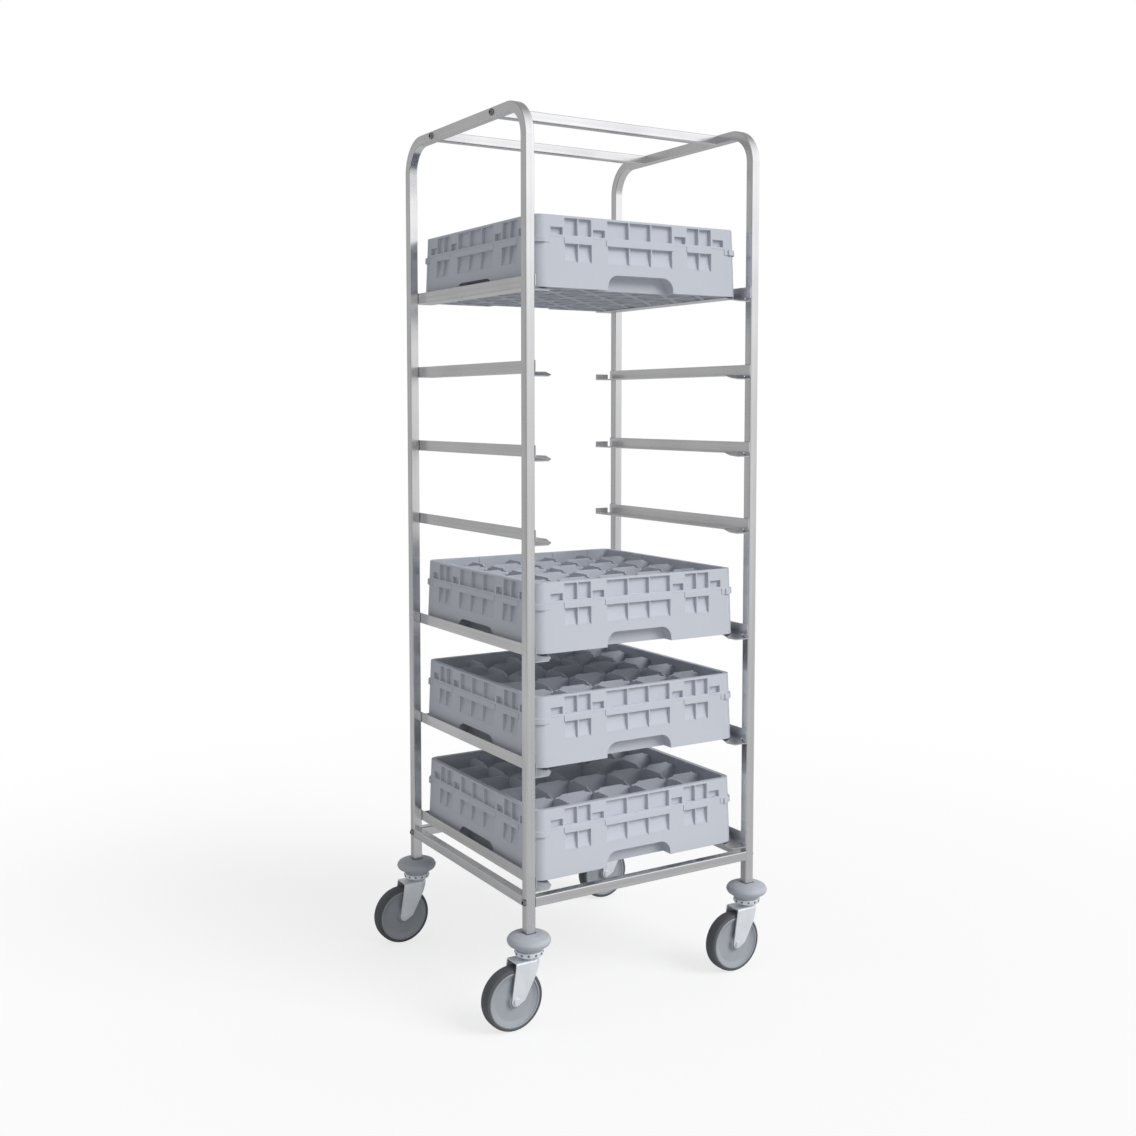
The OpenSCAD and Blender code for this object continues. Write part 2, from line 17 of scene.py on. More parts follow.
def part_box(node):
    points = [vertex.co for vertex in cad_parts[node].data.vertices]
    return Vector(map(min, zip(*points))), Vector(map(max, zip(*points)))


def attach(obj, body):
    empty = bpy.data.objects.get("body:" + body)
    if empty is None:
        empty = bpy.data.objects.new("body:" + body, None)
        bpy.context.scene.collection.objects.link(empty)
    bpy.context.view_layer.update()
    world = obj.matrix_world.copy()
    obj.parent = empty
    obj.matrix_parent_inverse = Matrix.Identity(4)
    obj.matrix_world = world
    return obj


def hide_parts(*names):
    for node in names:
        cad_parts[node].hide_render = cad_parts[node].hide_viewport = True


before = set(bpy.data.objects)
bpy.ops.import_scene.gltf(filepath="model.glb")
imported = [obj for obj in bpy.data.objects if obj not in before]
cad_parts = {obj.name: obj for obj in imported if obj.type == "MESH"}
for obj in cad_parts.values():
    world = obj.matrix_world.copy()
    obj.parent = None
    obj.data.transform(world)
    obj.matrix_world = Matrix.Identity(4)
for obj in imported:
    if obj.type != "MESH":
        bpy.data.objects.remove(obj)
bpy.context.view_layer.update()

LOG = logging.getLogger("trolley")
MM = 0.001
TINY = 0.02 * MM
IMAGE_SIDE = 1136
FRAME_BODY = "frame"
UP = Vector((0, 0, 1))
FRONT = Vector((0, -1, 0))

Colour = tuple[float, float, float]
Corner = tuple[float, float, float]
Place = tuple[Vector, Vector]
Term = Union["Wire", float, Sequence[float]]


def shade(red: int, green: int, blue: int) -> Colour:
    """Linear colour of a shade given in 8-bit display values."""
    return tuple(((v / 255 + 0.055) / 1.055) ** 2.4 for v in (red, green, blue))


def rgba(colour: Colour) -> tuple[float, float, float, float]:
    """Colour with full cover, as a colour socket takes it."""
    return (*colour, 1.0)


class Wire:
    """An output socket that takes part in Python sums."""

    def __init__(self, graph: "Graph", socket: bpy.types.NodeSocket) -> None:
        """Remembers the socket and the tree that new nodes go to."""
        self.graph = graph
        self.socket = socket

    def _math(self, operation: str, first: Term, second: Term) -> "Wire":
        """Adds one Math node."""
        return self.graph.add("ShaderNodeMath", {"operation": operation}, {0: first, 1: second})

    def __add__(self, other: Term) -> "Wire":
        """Sum."""
        return self._math("ADD", self, other)

    def __radd__(self, other: Term) -> "Wire":
        """Sum with the number first."""
        return self._math("ADD", other, self)

    def __sub__(self, other: Term) -> "Wire":
        """Difference."""
        return self._math("SUBTRACT", self, other)

    def __rsub__(self, other: Term) -> "Wire":
        """Difference with the number first."""
        return self._math("SUBTRACT", other, self)

    def __mul__(self, other: Term) -> "Wire":
        """Product."""
        return self._math("MULTIPLY", self, other)

    def __rmul__(self, other: Term) -> "Wire":
        """Product with the number first."""
        return self._math("MULTIPLY", other, self)

    def ramp(self, low: float, high: float) -> "Wire":
        """Smooth step that is zero below low and one above high.

        Args:
            low: Value at which the step starts.
            high: Value at which the step ends.

        Returns:
            The stepped value.
        """
        sockets = {"Value": self, "From Min": low, "From Max": high}
        return self.graph.add("ShaderNodeMapRange", {"interpolation_type": "SMOOTHSTEP"}, sockets)


class Graph:
    """A node tree under construction."""

    def __init__(self, tree: bpy.types.NodeTree) -> None:
        """Empties the tree."""
        self.tree = tree
        tree.nodes.clear()

    @staticmethod
    def _find(sockets: Any, key: Union[int, str]) -> bpy.types.NodeSocket:
        """Socket with that index, identifier or name."""
        named = {socket.identifier: socket for socket in sockets}
        return named[key] if key in named else sockets[key]

    def add(
        self,
        kind: str,
        settings: Optional[dict[str, Any]] = None,
        sockets: Optional[dict[Union[int, str], Any]] = None,
        output: Union[int, str] = 0,
    ) -> Optional[Wire]:
        """Adds a node, sets it up and links it.

        Args:
            kind: Type of the node.
            settings: Properties of the node, set before its sockets.
            sockets: Values or wires for its inputs.
            output: Index, identifier or name of the wanted output.

        Returns:
            The wanted output, or None for a node that has no outputs.
        """
        node = self.tree.nodes.new(kind)
        for key, value in (settings or {}).items():
            setattr(node, key, value)
        for key, value in (sockets or {}).items():
            target = self._find(node.inputs, key)
            if isinstance(value, Wire):
                self.tree.links.new(value.socket, target)
            else:
                target.default_value = value
        return Wire(self, self._find(node.outputs, output)) if len(node.outputs) else None

    def blend(self, factor: Term, first: Term, second: Term) -> Wire:
        """Mixes two colours.

        Args:
            factor: Share of the second colour.
            first: Colour at zero.
            second: Colour at one.

        Returns:
            The mixed colour.
        """
        sockets = {"Factor_Float": factor, "A_Color": first, "B_Color": second}
        return self.add("ShaderNodeMix", {"data_type": "RGBA"}, sockets, "Result_Color")

    def noise(self, place: Wire, scale: Sequence[float], detail: float = 2.0) -> Wire:
        """Cloudy value with its own scale along each axis.

        Args:
            place: Coordinates.
            scale: Repeats per metre along each axis.
            detail: Octaves of finer cloud.

        Returns:
            A value that wanders about one half.
        """
        stretched = self.add(
            "ShaderNodeVectorMath", {"operation": "MULTIPLY"}, {0: place, 1: tuple(scale)}
        )
        sockets = {"Vector": stretched, "Scale": 1.0, "Detail": detail}
        return self.add("ShaderNodeTexNoise", None, sockets)


@dataclass(frozen=True)
class Finish:
    """A surface finish that builds one material.

    Attributes:
        name: Name of the material.
        slot: Material slot of the record; nothing in this script reads it.
        colour: Main colour.
        second: Colour that the main one drifts to.
        roughness: Roughness where the surface is smoothest.
    """

    name: str
    slot: str
    colour: Colour
    second: Colour
    roughness: float

    def material(self) -> bpy.types.Material:
        """Makes the material at its first use.

        Returns:
            The material.
        """
        made = bpy.data.materials.get(self.name)
        if made is None:
            made = bpy.data.materials.new(self.name)
            made.use_nodes = True
            graph = Graph(made.node_tree)
            graph.add("ShaderNodeOutputMaterial", None, {"Surface": self.surface(graph)})
        return made

    def surface(self, graph: Graph) -> Wire:
        """Shader of the finish."""
        raise NotImplementedError

    @staticmethod
    def bump(graph: Graph, height: Wire, strength: float, depth: float) -> Wire:
        """Normal of a fine relief.

        Args:
            graph: Tree of the material.
            height: Relief between zero and one.
            strength: Share of the relief that shows.
            depth: Height of the relief in metres.

        Returns:
            The bent normal.
        """
        sockets = {"Strength": strength, "Distance": depth, "Height": height}
        return graph.add("ShaderNodeBump", None, sockets, "Normal")

    def principled(
        self, graph: Graph, drift: Wire, dulling: Wire, normal: Wire, metal: float = 0.0
    ) -> Wire:
        """Shader whose colour drifts between the two tones.

        Args:
            graph: Tree of the material.
            drift: Share of the second tone.
            dulling: What the surface adds to the roughness.
            normal: Normal of the relief.
            metal: Share of metal.

        Returns:
            The shader.
        """
        sockets = {
            "Base Color": graph.blend(drift, rgba(self.colour), rgba(self.second)),
            "Metallic": metal,
            "Roughness": self.roughness + dulling,
            "Normal": normal,
        }
        return graph.add("ShaderNodeBsdfPrincipled", None, sockets)


class Grain(Enum):
    """Direction in which steel is brushed."""

    # Also the name of the attribute that holds a tube's own coordinates
    ALONG_TUBE = "tube_run"
    ALONG_DEPTH = "depth"


@dataclass(frozen=True)
class BrushedSteel(Finish):
    """Stainless steel brushed along its length.

    Attributes:
        grain: Direction of the brushing.
        streaks: Fine brush lines per metre across the grain.
        bands: Wider bands per metre across the grain.
        stretch: Share of those counts along the grain.
        smudges: Smudges per metre.
        smudge_edge: Values between which a smudge fades in.
        dulling: What streaks and smudges each add to the roughness.
        band_share: Share of the bands in the drift of the colour, where smudges have the rest.
        drift_edge: Values between which the colour drifts.
        relief: Depth of the brush lines.
        relief_share: Share of the brush lines that shows.
    """

    grain: Grain = Grain.ALONG_TUBE
    streaks: float = 1500.0
    bands: float = 160.0
    stretch: float = 0.006
    smudges: float = 7.0
    smudge_edge: tuple[float, float] = (0.45, 0.75)
    dulling: float = 0.10
    band_share: float = 0.55
    drift_edge: tuple[float, float] = (0.3, 0.7)
    relief: float = 0.05 * MM
    relief_share: float = 0.12

    def surface(self, graph: Graph) -> Wire:
        """Metal with lengthwise streaks in colour, gloss and relief.

        Args:
            graph: Tree of the material.

        Returns:
            The shader.
        """
        if self.grain is Grain.ALONG_TUBE:
            place = graph.add(
                "ShaderNodeAttribute", {"attribute_name": self.grain.value}, output="Vector"
            )
            along = (1.0, 1.0, self.stretch)
        else:
            place = graph.add("ShaderNodeTexCoord", output="Object")
            along = (1.0, self.stretch, 1.0)
        streak = graph.noise(place, [self.streaks * a for a in along], detail=3.0)
        band = graph.noise(place, [self.bands * a for a in along])
        still = graph.add("ShaderNodeTexCoord", output="Object")
        smudge = graph.noise(still, (self.smudges,) * 3, detail=4.0)
        wear = self.band_share * band + (1 - self.band_share) * smudge
        dulling = self.dulling * streak + self.dulling * smudge.ramp(*self.smudge_edge)
        normal = self.bump(graph, streak, self.relief_share, self.relief)
        drift = wear.ramp(*self.drift_edge)
        return self.principled(graph, drift, dulling, normal, metal=1.0)


@dataclass(frozen=True)
class PlatedMetal(Finish):
    """Plated or polished metal with a faint bloom and pressed marks.

    Attributes:
        metal: Share of mirror-like metal in the surface.
        bloom: Clouds per metre of the plating's bloom.
        bloom_edge: Values between which the bloom fades in.
        bloom_dulling: What the bloom adds to the roughness.
        grit: Pits per metre of the sheet.
        grit_dulling: What the pits add to the roughness.
        relief: Depth of the pits.
        relief_share: Share of the pits that shows.
    """

    metal: float = 1.0
    bloom: float = 35.0
    bloom_edge: tuple[float, float] = (0.35, 0.7)
    bloom_dulling: float = 0.12
    grit: float = 1400.0
    grit_dulling: float = 0.06
    relief: float = 0.06 * MM
    relief_share: float = 0.15

    def surface(self, graph: Graph) -> Wire:
        """Metal with a cloudy bloom and fine pits.

        Args:
            graph: Tree of the material.

        Returns:
            The shader.
        """
        place = graph.add("ShaderNodeTexCoord", output="Object")
        cloud = graph.noise(place, (self.bloom,) * 3, detail=4.0)
        pit = graph.noise(place, (self.grit,) * 3)
        normal = self.bump(graph, pit, self.relief_share, self.relief)
        dulling = self.bloom_dulling * cloud + self.grit_dulling * pit
        drift = cloud.ramp(*self.bloom_edge)
        return self.principled(graph, drift, dulling, normal, self.metal)


@dataclass(frozen=True)
class Moulded(Finish):
    """Moulded plastic or rubber with a fine grain, a faint mottle and scuffs.

    Attributes:
        grain: Grains per metre of the tool's texture.
        grain_depth: Depth of that texture in metres.
        grain_share: Share of that texture that shows.
        grain_tint: Share of the grain in the drift of the colour, where the mottle has the rest.
        grain_dulling: What the grain adds to the roughness.
        mottle: Clouds per metre of the colour.
        mottle_edge: Values between which the mottle fades in.
        scuffs: Scuff marks per metre.
        scuff_length: Length of a scuff over its height.
        scuff_cover: Value above which a scuff shows.
        scuff_fade: Span of values in which it fades in.
        scuff_relief: Height of a scuff, as a share of the grain's.
        scuff_dulling: What a scuff adds to the roughness.
    """

    grain: float = 1100.0
    grain_depth: float = 0.05 * MM
    grain_share: float = 0.25
    grain_tint: float = 0.25
    grain_dulling: float = 0.10
    mottle: float = 14.0
    mottle_edge: tuple[float, float] = (0.3, 0.7)
    scuffs: float = 45.0
    scuff_length: float = 9.0
    scuff_cover: float = 0.62
    scuff_fade: float = 0.2
    scuff_relief: float = 0.4
    scuff_dulling: float = 0.12

    def surface(self, graph: Graph) -> Wire:
        """Dull surface with grain, mottle and scuffs that run level.

        Args:
            graph: Tree of the material.

        Returns:
            The shader.
        """
        place = graph.add("ShaderNodeTexCoord", output="Object")
        cloud = graph.noise(place, (self.mottle,) * 3, detail=5.0)
        fine = graph.noise(place, (self.grain,) * 3)
        level = (self.scuffs, self.scuffs, self.scuff_length * self.scuffs)
        rub = graph.noise(place, level, detail=3.0)
        scuff = rub.ramp(self.scuff_cover, self.scuff_cover + self.scuff_fade)
        mottled = cloud.ramp(*self.mottle_edge)
        drift = (1 - self.grain_tint) * mottled + self.grain_tint * fine
        height = fine + self.scuff_relief * scuff
        normal = self.bump(graph, height, self.grain_share, self.grain_depth)
        dulling = self.grain_dulling * fine + self.scuff_dulling * scuff
        return self.principled(graph, drift, dulling, normal)


STEEL_LIGHT = shade(226, 226, 227)
STEEL_DARK = shade(212, 212, 214)
TUBE_STEEL = BrushedSteel("brushed_tube", "stainless", STEEL_LIGHT, STEEL_DARK, 0.16)
RAIL_STEEL = BrushedSteel(
    "brushed_sheet", "stainless", STEEL_LIGHT, STEEL_DARK, 0.18, grain=Grain.ALONG_DEPTH
)
# Polished steel of the bolts and of the swivel heads' dimples: its tone, darker than the tube
# steel, is painted shade.
STEEL_WITH_PAINTED_SHADE = PlatedMetal(
    "polished_steel_with_painted_shade", "stainless", shade(150, 151, 154), shade(128, 129, 133), 0.16
)
WELD_STEEL = PlatedMetal(
    "cleaned_weld", "stainless", shade(214, 213, 210), shade(188, 186, 182), 0.30
)
ZINC = PlatedMetal(
    "zinc_plate", "zinc", shade(239, 243, 248), shade(230, 235, 242), 0.24, metal=0.52
)
RACK_PLASTIC = Moulded(
    "rack_plastic", "rack_plastic", shade(178, 183, 192), shade(171, 176, 186), 0.42
)
BUMPER_PLASTIC = Moulded(
    "bumper_plastic", "bumper_grey", shade(187, 192, 200), shade(178, 183, 191), 0.48
)
HUB_PLASTIC = Moulded(
    "hub_plastic", "hub_grey", shade(163, 168, 175), shade(154, 159, 166), 0.40
)
TYRE_RUBBER = Moulded(
    "tyre_rubber", "tyre", shade(94, 96, 100), shade(82, 84, 88), 0.62, grain_depth=0.12 * MM
)


def placed(name: str, data: Any) -> bpy.types.Object:
    """New object in the scene.

    Args:
        name: Name of the object.
        data: Its mesh, light or camera.

    Returns:
        The object.
    """
    made = bpy.data.objects.new(name, data)
    bpy.context.scene.collection.objects.link(made)
    return made


class ShapeTree(Graph):
    """A Geometry Nodes tree with named inputs that grows a plain mesh."""

    def __init__(self, name: str, inputs: dict[str, str]) -> None:
        """Makes the tree and its inputs, of which the finish is the last.

        Args:
            name: Name of the tree.
            inputs: Kind of each other input's socket, by the input's name.
        """
        super().__init__(bpy.data.node_groups.new(name, "GeometryNodeTree"))
        face = self.tree.interface
        face.new_socket("Geometry", in_out="INPUT", socket_type="NodeSocketGeometry")
        for label, kind in {**inputs, "Finish": "Material"}.items():
            face.new_socket(label, in_out="INPUT", socket_type=f"NodeSocket{kind}")
        face.new_socket("Geometry", in_out="OUTPUT", socket_type="NodeSocketGeometry")
        self.entry = self.tree.nodes.new("NodeGroupInput")

    def given(self, label: str) -> Wire:
        """Wire of a named input."""
        return Wire(self, self.entry.outputs[label])

    def store(self, geometry: Wire, label: str, kind: str, value: Wire) -> Wire:
        """Stores a value on the points of a geometry.

        Args:
            geometry: What carries the value.
            label: Name of the attribute.
            kind: Data type of the attribute.
            value: The value.

        Returns:
            The geometry with its attribute.
        """
        sockets = {"Geometry": geometry, "Name": label, "Value": value}
        return self.add("GeometryNodeStoreNamedAttribute", {"data_type": kind}, sockets)

    def close(self, geometry: Wire) -> None:
        """Ends the tree in real geometry with its finish.

        Args:
            geometry: What the tree has made.
        """
        real = self.add("GeometryNodeRealizeInstances", None, {0: geometry})
        sockets = {"Geometry": real, "Material": self.given("Finish")}
        self.add("NodeGroupOutput", None, {0: self.add("GeometryNodeSetMaterial", None, sockets)})

    def grow(self, seed: bpy.types.Mesh, values: dict[str, Any]) -> bpy.types.Mesh:
        """Runs the tree on a seed mesh.

        Args:
            seed: Points or path that the tree works on.
            values: Value of each named input.

        Returns:
            The plain mesh that the tree ends in.
        """
        carrier = placed("seed", seed)
        modifier = carrier.modifiers.new("grow", "NODES")
        modifier.node_group = self.tree
        for item in self.tree.interface.items_tree:
            if item.in_out == "INPUT" and item.name in values:
                modifier[item.identifier] = values[item.name]
        graph = bpy.context.evaluated_depsgraph_get()
        grown = bpy.data.meshes.new_from_object(
            carrier.evaluated_get(graph), preserve_all_data_layers=True, depsgraph=graph
        )
        carrier.modifiers.remove(modifier)
        bpy.data.objects.remove(carrier)
        return grown


class TubeTree(ShapeTree):
    """Square tube with rounded edges along a path that is bent at its corners."""

    def __init__(self) -> None:
        """Builds the tree."""
        sizes = dict.fromkeys(("Side", "Edge radius", "Bend radius"), "Float")
        counts = dict.fromkeys(("Bend steps", "Edge steps"), "Int")
        super().__init__("square_tube", {**sizes, **counts})
        path = self.add("GeometryNodeMeshToCurve", None, {0: self.given("Geometry")})
        path = self._bend(path, "Bend steps", "Bend radius")
        length = self.add("GeometryNodeSplineParameter", output="Length")
        path = self.store(path, "run", "FLOAT", length)
        side = self.given("Side")
        square = self.add("GeometryNodeCurvePrimitiveQuadrilateral", None, {0: side, 1: side})
        square = self._bend(square, "Edge steps", "Edge radius")
        square = self.store(square, "across", "FLOAT_VECTOR", self.add("GeometryNodeInputPosition"))
        sockets = {"Curve": path, "Profile Curve": square, "Fill Caps": True}
        tube = self.add("GeometryNodeCurveToMesh", None, sockets)
        run = self._read("run", "FLOAT")
        along = self.add("ShaderNodeCombineXYZ", None, {"Z": run})
        sockets = {0: self._read("across", "FLOAT_VECTOR"), 1: along}
        place = self.add("ShaderNodeVectorMath", {"operation": "ADD"}, sockets)
        self.close(self.store(tube, Grain.ALONG_TUBE.value, "FLOAT_VECTOR", place))

    def _bend(self, curve: Wire, steps: str, radius: str) -> Wire:
        """Rounds the corners of a curve.

        Args:
            curve: Curve with sharp corners.
            steps: Name of the input with the steps in each corner.
            radius: Name of the input with the radius.

        Returns:
            The curve with round corners.
        """
        sockets = {"Curve": curve, "Count": self.given(steps), "Radius": self.given(radius)}
        return self.add("GeometryNodeFilletCurve", {"mode": "POLY"}, sockets)

    def _read(self, label: str, kind: str) -> Wire:
        """Wire of a stored attribute."""
        return self.add("GeometryNodeInputNamedAttribute", {"data_type": kind}, {"Name": label})


class RepeatTree(ShapeTree):
    """Copies of one item on points, each turned by the point's own angles."""

    TURN = "turn"
    SEED = 7

    def __init__(self) -> None:
        """Builds the tree."""
        super().__init__("repeated_item", {"Item": "Object", "Spread": "Float", "Seed": "Int"})
        item = self.add("GeometryNodeObjectInfo", None, {0: self.given("Item")}, "Geometry")
        turn = self.add(
            "GeometryNodeInputNamedAttribute", {"data_type": "FLOAT_VECTOR"}, {"Name": self.TURN}
        )
        spread = self.given("Spread")
        sockets = {"Min_001": 1.0 - spread, "Max_001": 1.0 + spread, "Seed": self.given("Seed")}
        size = self.add("FunctionNodeRandomValue", {"data_type": "FLOAT"}, sockets, "Value_001")
        sockets = {
            "Points": self.given("Geometry"),
            "Instance": item,
            "Rotation": self.add("FunctionNodeEulerToRotation", None, {0: turn}),
            "Scale": size,
        }
        self.close(self.add("GeometryNodeInstanceOnPoints", None, sockets))

    def repeat(
        self,
        item: bpy.types.Mesh,
        places: Sequence[Place],
        finish: Finish,
        spread: float = 0.0,
    ) -> bpy.types.Mesh:
        """Puts an item at each place.

        Args:
            item: Mesh of the item about its own origin.
            places: Point and Euler angles of each copy.
            finish: Finish of the copies.
            spread: Share by which the sizes differ.

        Returns:
            One mesh with all the copies.
        """
        points = bpy.data.meshes.new("points")
        points.from_pydata([place for place, _ in places], [], [])
        turns = points.attributes.new(self.TURN, "FLOAT_VECTOR", "POINT")
        for slot, (_, turn) in zip(turns.data, places):
            slot.vector = turn
        pattern = placed("pattern", item)
        values = {"Item": pattern, "Spread": spread, "Seed": self.SEED}
        values["Finish"] = finish.material()
        grown = self.grow(points, values)
        bpy.data.objects.remove(pattern)
        return grown


def rounded_outline(corners: Sequence[Corner], steps: int = 5) -> list[tuple[float, float]]:
    """Outline whose inner corners are rounded by arcs.

    Args:
        corners: Radius, level and rounding of each corner.
        steps: Steps in each arc.

    Returns:
        The points of the outline.
    """
    points = []
    last = len(corners) - 1
    for index, (across, level, rounding) in enumerate(corners):
        here = Vector((across, level))
        if rounding == 0 or index in (0, last):
            points.append((across, level))
            continue
        back = (Vector(corners[index - 1][:2]) - here).normalized()
        ahead = (Vector(corners[index + 1][:2]) - here).normalized()
        half = back.angle(ahead) / 2
        centre = here + (back + ahead).normalized() * (rounding / math.sin(half))
        start = here + back * (rounding / math.tan(half)) - centre
        sweep = math.copysign(math.pi - 2 * half, back.x * ahead.y - back.y * ahead.x)
        for step in range(steps + 1):
            turn = Matrix.Rotation(-sweep * step / steps, 2)
            points.append(tuple(centre + turn @ start))
    return points


@dataclass(frozen=True)
class Ring:
    """One ring of a turned shape.

    Attributes:
        reach: Radius, or half the side of a square ring.
        level: Place along the axis.
        square: Whether the ring is square.
    """

    reach: float
    level: float
    square: bool = False

    def radius(self, angle: float) -> float:
        """Distance from the axis at an angle."""
        nearest = max(abs(math.cos(angle)), abs(math.sin(angle)))
        return self.reach / nearest if self.square else self.reach


def rings(outline: Iterable[tuple[float, float]]) -> list[Ring]:
    """Round rings through the points of an outline."""
    return [Ring(across, level) for across, level in outline]


def corners_from(across: float, level: float, offsets: Iterable[Corner]) -> list[Corner]:
    """Corners of an outline that are set off from one point.

    Args:
        across: Radius of the point.
        level: Level of the point.
        offsets: Offsets across and along the axis, and roundings, in millimetres.

    Returns:
        Radius, level and rounding of each corner.
    """
    return [(across + MM * out, level + MM * up, MM * turn) for out, up, turn in offsets]


def any_edge(_: bmesh.types.BMEdge) -> bool:
    """Test that every edge passes."""
    return True


class Shape:
    """A mesh under construction."""

    FLAT = math.radians(0.5)

    def __init__(self) -> None:
        """Starts empty."""
        self.bm = bmesh.new()

    @classmethod
    def of_node(cls, node: str) -> "Shape":
        """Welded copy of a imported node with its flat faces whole.

        Args:
            node: Name of the node.

        Returns:
            The copy.
        """
        shape = cls()
        shape.bm.from_mesh(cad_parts[node].data)
        shape.merge()
        bmesh.ops.dissolve_limit(
            shape.bm, angle_limit=cls.FLAT, verts=shape.bm.verts, edges=shape.bm.edges
        )
        return shape

    def merge(self) -> None:
        """Joins points that share a place."""
        bmesh.ops.remove_doubles(self.bm, verts=self.bm.verts, dist=TINY)

    def turn_up(
        self,
        course: Sequence[Ring],
        centre: Vector,
        axis: Vector,
        steps: int = 96,
        loop: bool = False,
    ) -> None:
        """Adds a skin through rings about an axis.

        Args:
            course: The rings in order.
            centre: Point of the axis where the level is zero.
            axis: Direction of the axis.
            steps: Points on each ring.
            loop: Whether the last ring joins the first.
        """
        spin = UP.rotation_difference(axis).to_matrix()
        rows = []
        for ring in course:
            row = []
            for step in range(steps):
                angle = 2 * math.pi * step / steps
                reach = ring.radius(angle)
                local = Vector((reach * math.cos(angle), reach * math.sin(angle), ring.level))
                row.append(self.bm.verts.new(centre + spin @ local))
            rows.append(row)
        pairs = list(zip(rows, rows[1:]))
        if loop:
            pairs.append((rows[-1], rows[0]))
        for low, high in pairs:
            for step in range(steps):
                after = (step + 1) % steps
                self.bm.faces.new((low[step], low[after], high[after], high[step]))
        if not loop:
            self.bm.faces.new(reversed(rows[0]))
            self.bm.faces.new(rows[-1])
        self.merge()
        bmesh.ops.dissolve_degenerate(self.bm, edges=self.bm.edges, dist=TINY)
        bmesh.ops.recalc_face_normals(self.bm, faces=self.bm.faces)

    def box(self, low: Vector, high: Vector) -> None:
        """Adds a box between two corners."""
        place = Matrix.Translation((low + high) / 2) @ Matrix.Diagonal((*(high - low), 1.0))
        bmesh.ops.create_cube(self.bm, size=1.0, matrix=place)

    def round_edges(
        self,
        width: float,
        steps: int = 2,
        chosen: Callable[[bmesh.types.BMEdge], bool] = any_edge,
        least: float = 30.0,
    ) -> None:
        """Rounds the chosen sharp edges.

        Args:
            width: Width of the rounding.
            steps: Faces across the rounding.
            chosen: Test that an edge has to pass.
            least: Smallest angle between an edge's faces, in degrees.
        """
        limit = math.radians(least)
        sharp = [
            edge
            for edge in self.bm.edges
            if len(edge.link_faces) == 2 and edge.calc_face_angle(0.0) > limit and chosen(edge)
        ]
        bmesh.ops.bevel(
            self.bm,
            geom=sharp,
            offset=width,
            offset_type="OFFSET",
            segments=steps,
            profile=0.5,
            affect="EDGES",
            clamp_overlap=False,
            loop_slide=True,
        )
        bmesh.ops.dissolve_degenerate(self.bm, edges=self.bm.edges, dist=TINY)

    def mesh(self, name: str) -> bpy.types.Mesh:
        """Hands over the finished mesh and ends the work on it.

        Args:
            name: Name of the mesh.

        Returns:
            The mesh.
        """
        made = bpy.data.meshes.new(name)
        self.bm.to_mesh(made)
        self.bm.free()
        return made


class Workshop:
    """Turns meshes into pieces that ride on the frame."""

    SHARP = math.radians(38.0)

    def __init__(self) -> None:
        """Builds the shared trees."""
        self.tubes = TubeTree()
        self.repeats = RepeatTree()

    def fit(
        self, name: str, mesh: bpy.types.Mesh, finish: Finish, body: str, nodes: Sequence[str] = ()
    ) -> None:
        """Makes a piece of a mesh, with smooth faces and sharp edges marked.

        Args:
            name: Name of the piece.
            mesh: Its mesh, in place.
            finish: Its finish.
            body: Body that it rides on.
            nodes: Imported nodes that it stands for.
        """
        piece = placed(name, mesh)
        mesh.materials.clear()
        mesh.materials.append(finish.material())
        mesh.shade_smooth()
        mesh.set_sharp_from_angle(angle=self.SHARP)
        normals = piece.modifiers.new("even_normals", "WEIGHTED_NORMAL")
        normals.keep_sharp = True
        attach(piece, body)
        if nodes:
            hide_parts(*nodes)
        LOG.info("%s: %d faces on %s", name, len(mesh.polygons), body)


def moved(mesh: bpy.types.Mesh, step: Vector) -> bpy.types.Mesh:
    """Copies a mesh to another place.

    Args:
        mesh: The mesh.
        step: Way to that place.

    Returns:
        The copy.
    """
    copy = mesh.copy()
    copy.transform(Matrix.Translation(step))
    return copy


def low_corner(node: str) -> Vector:
    """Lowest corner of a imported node."""
    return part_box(node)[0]


def weld_bead(radius: float, squash: Sequence[float]) -> bpy.types.Mesh:
    """One bead of a weld.

    Args:
        radius: Radius of the bead.
        squash: Share of that radius along each axis.

    Returns:
        Mesh of the bead about its own origin.
    """
    shape = Shape()
    bmesh.ops.create_uvsphere(shape.bm, u_segments=9, v_segments=6, radius=radius)
    bmesh.ops.scale(shape.bm, vec=squash, verts=shape.bm.verts)
    return shape.mesh("bead")


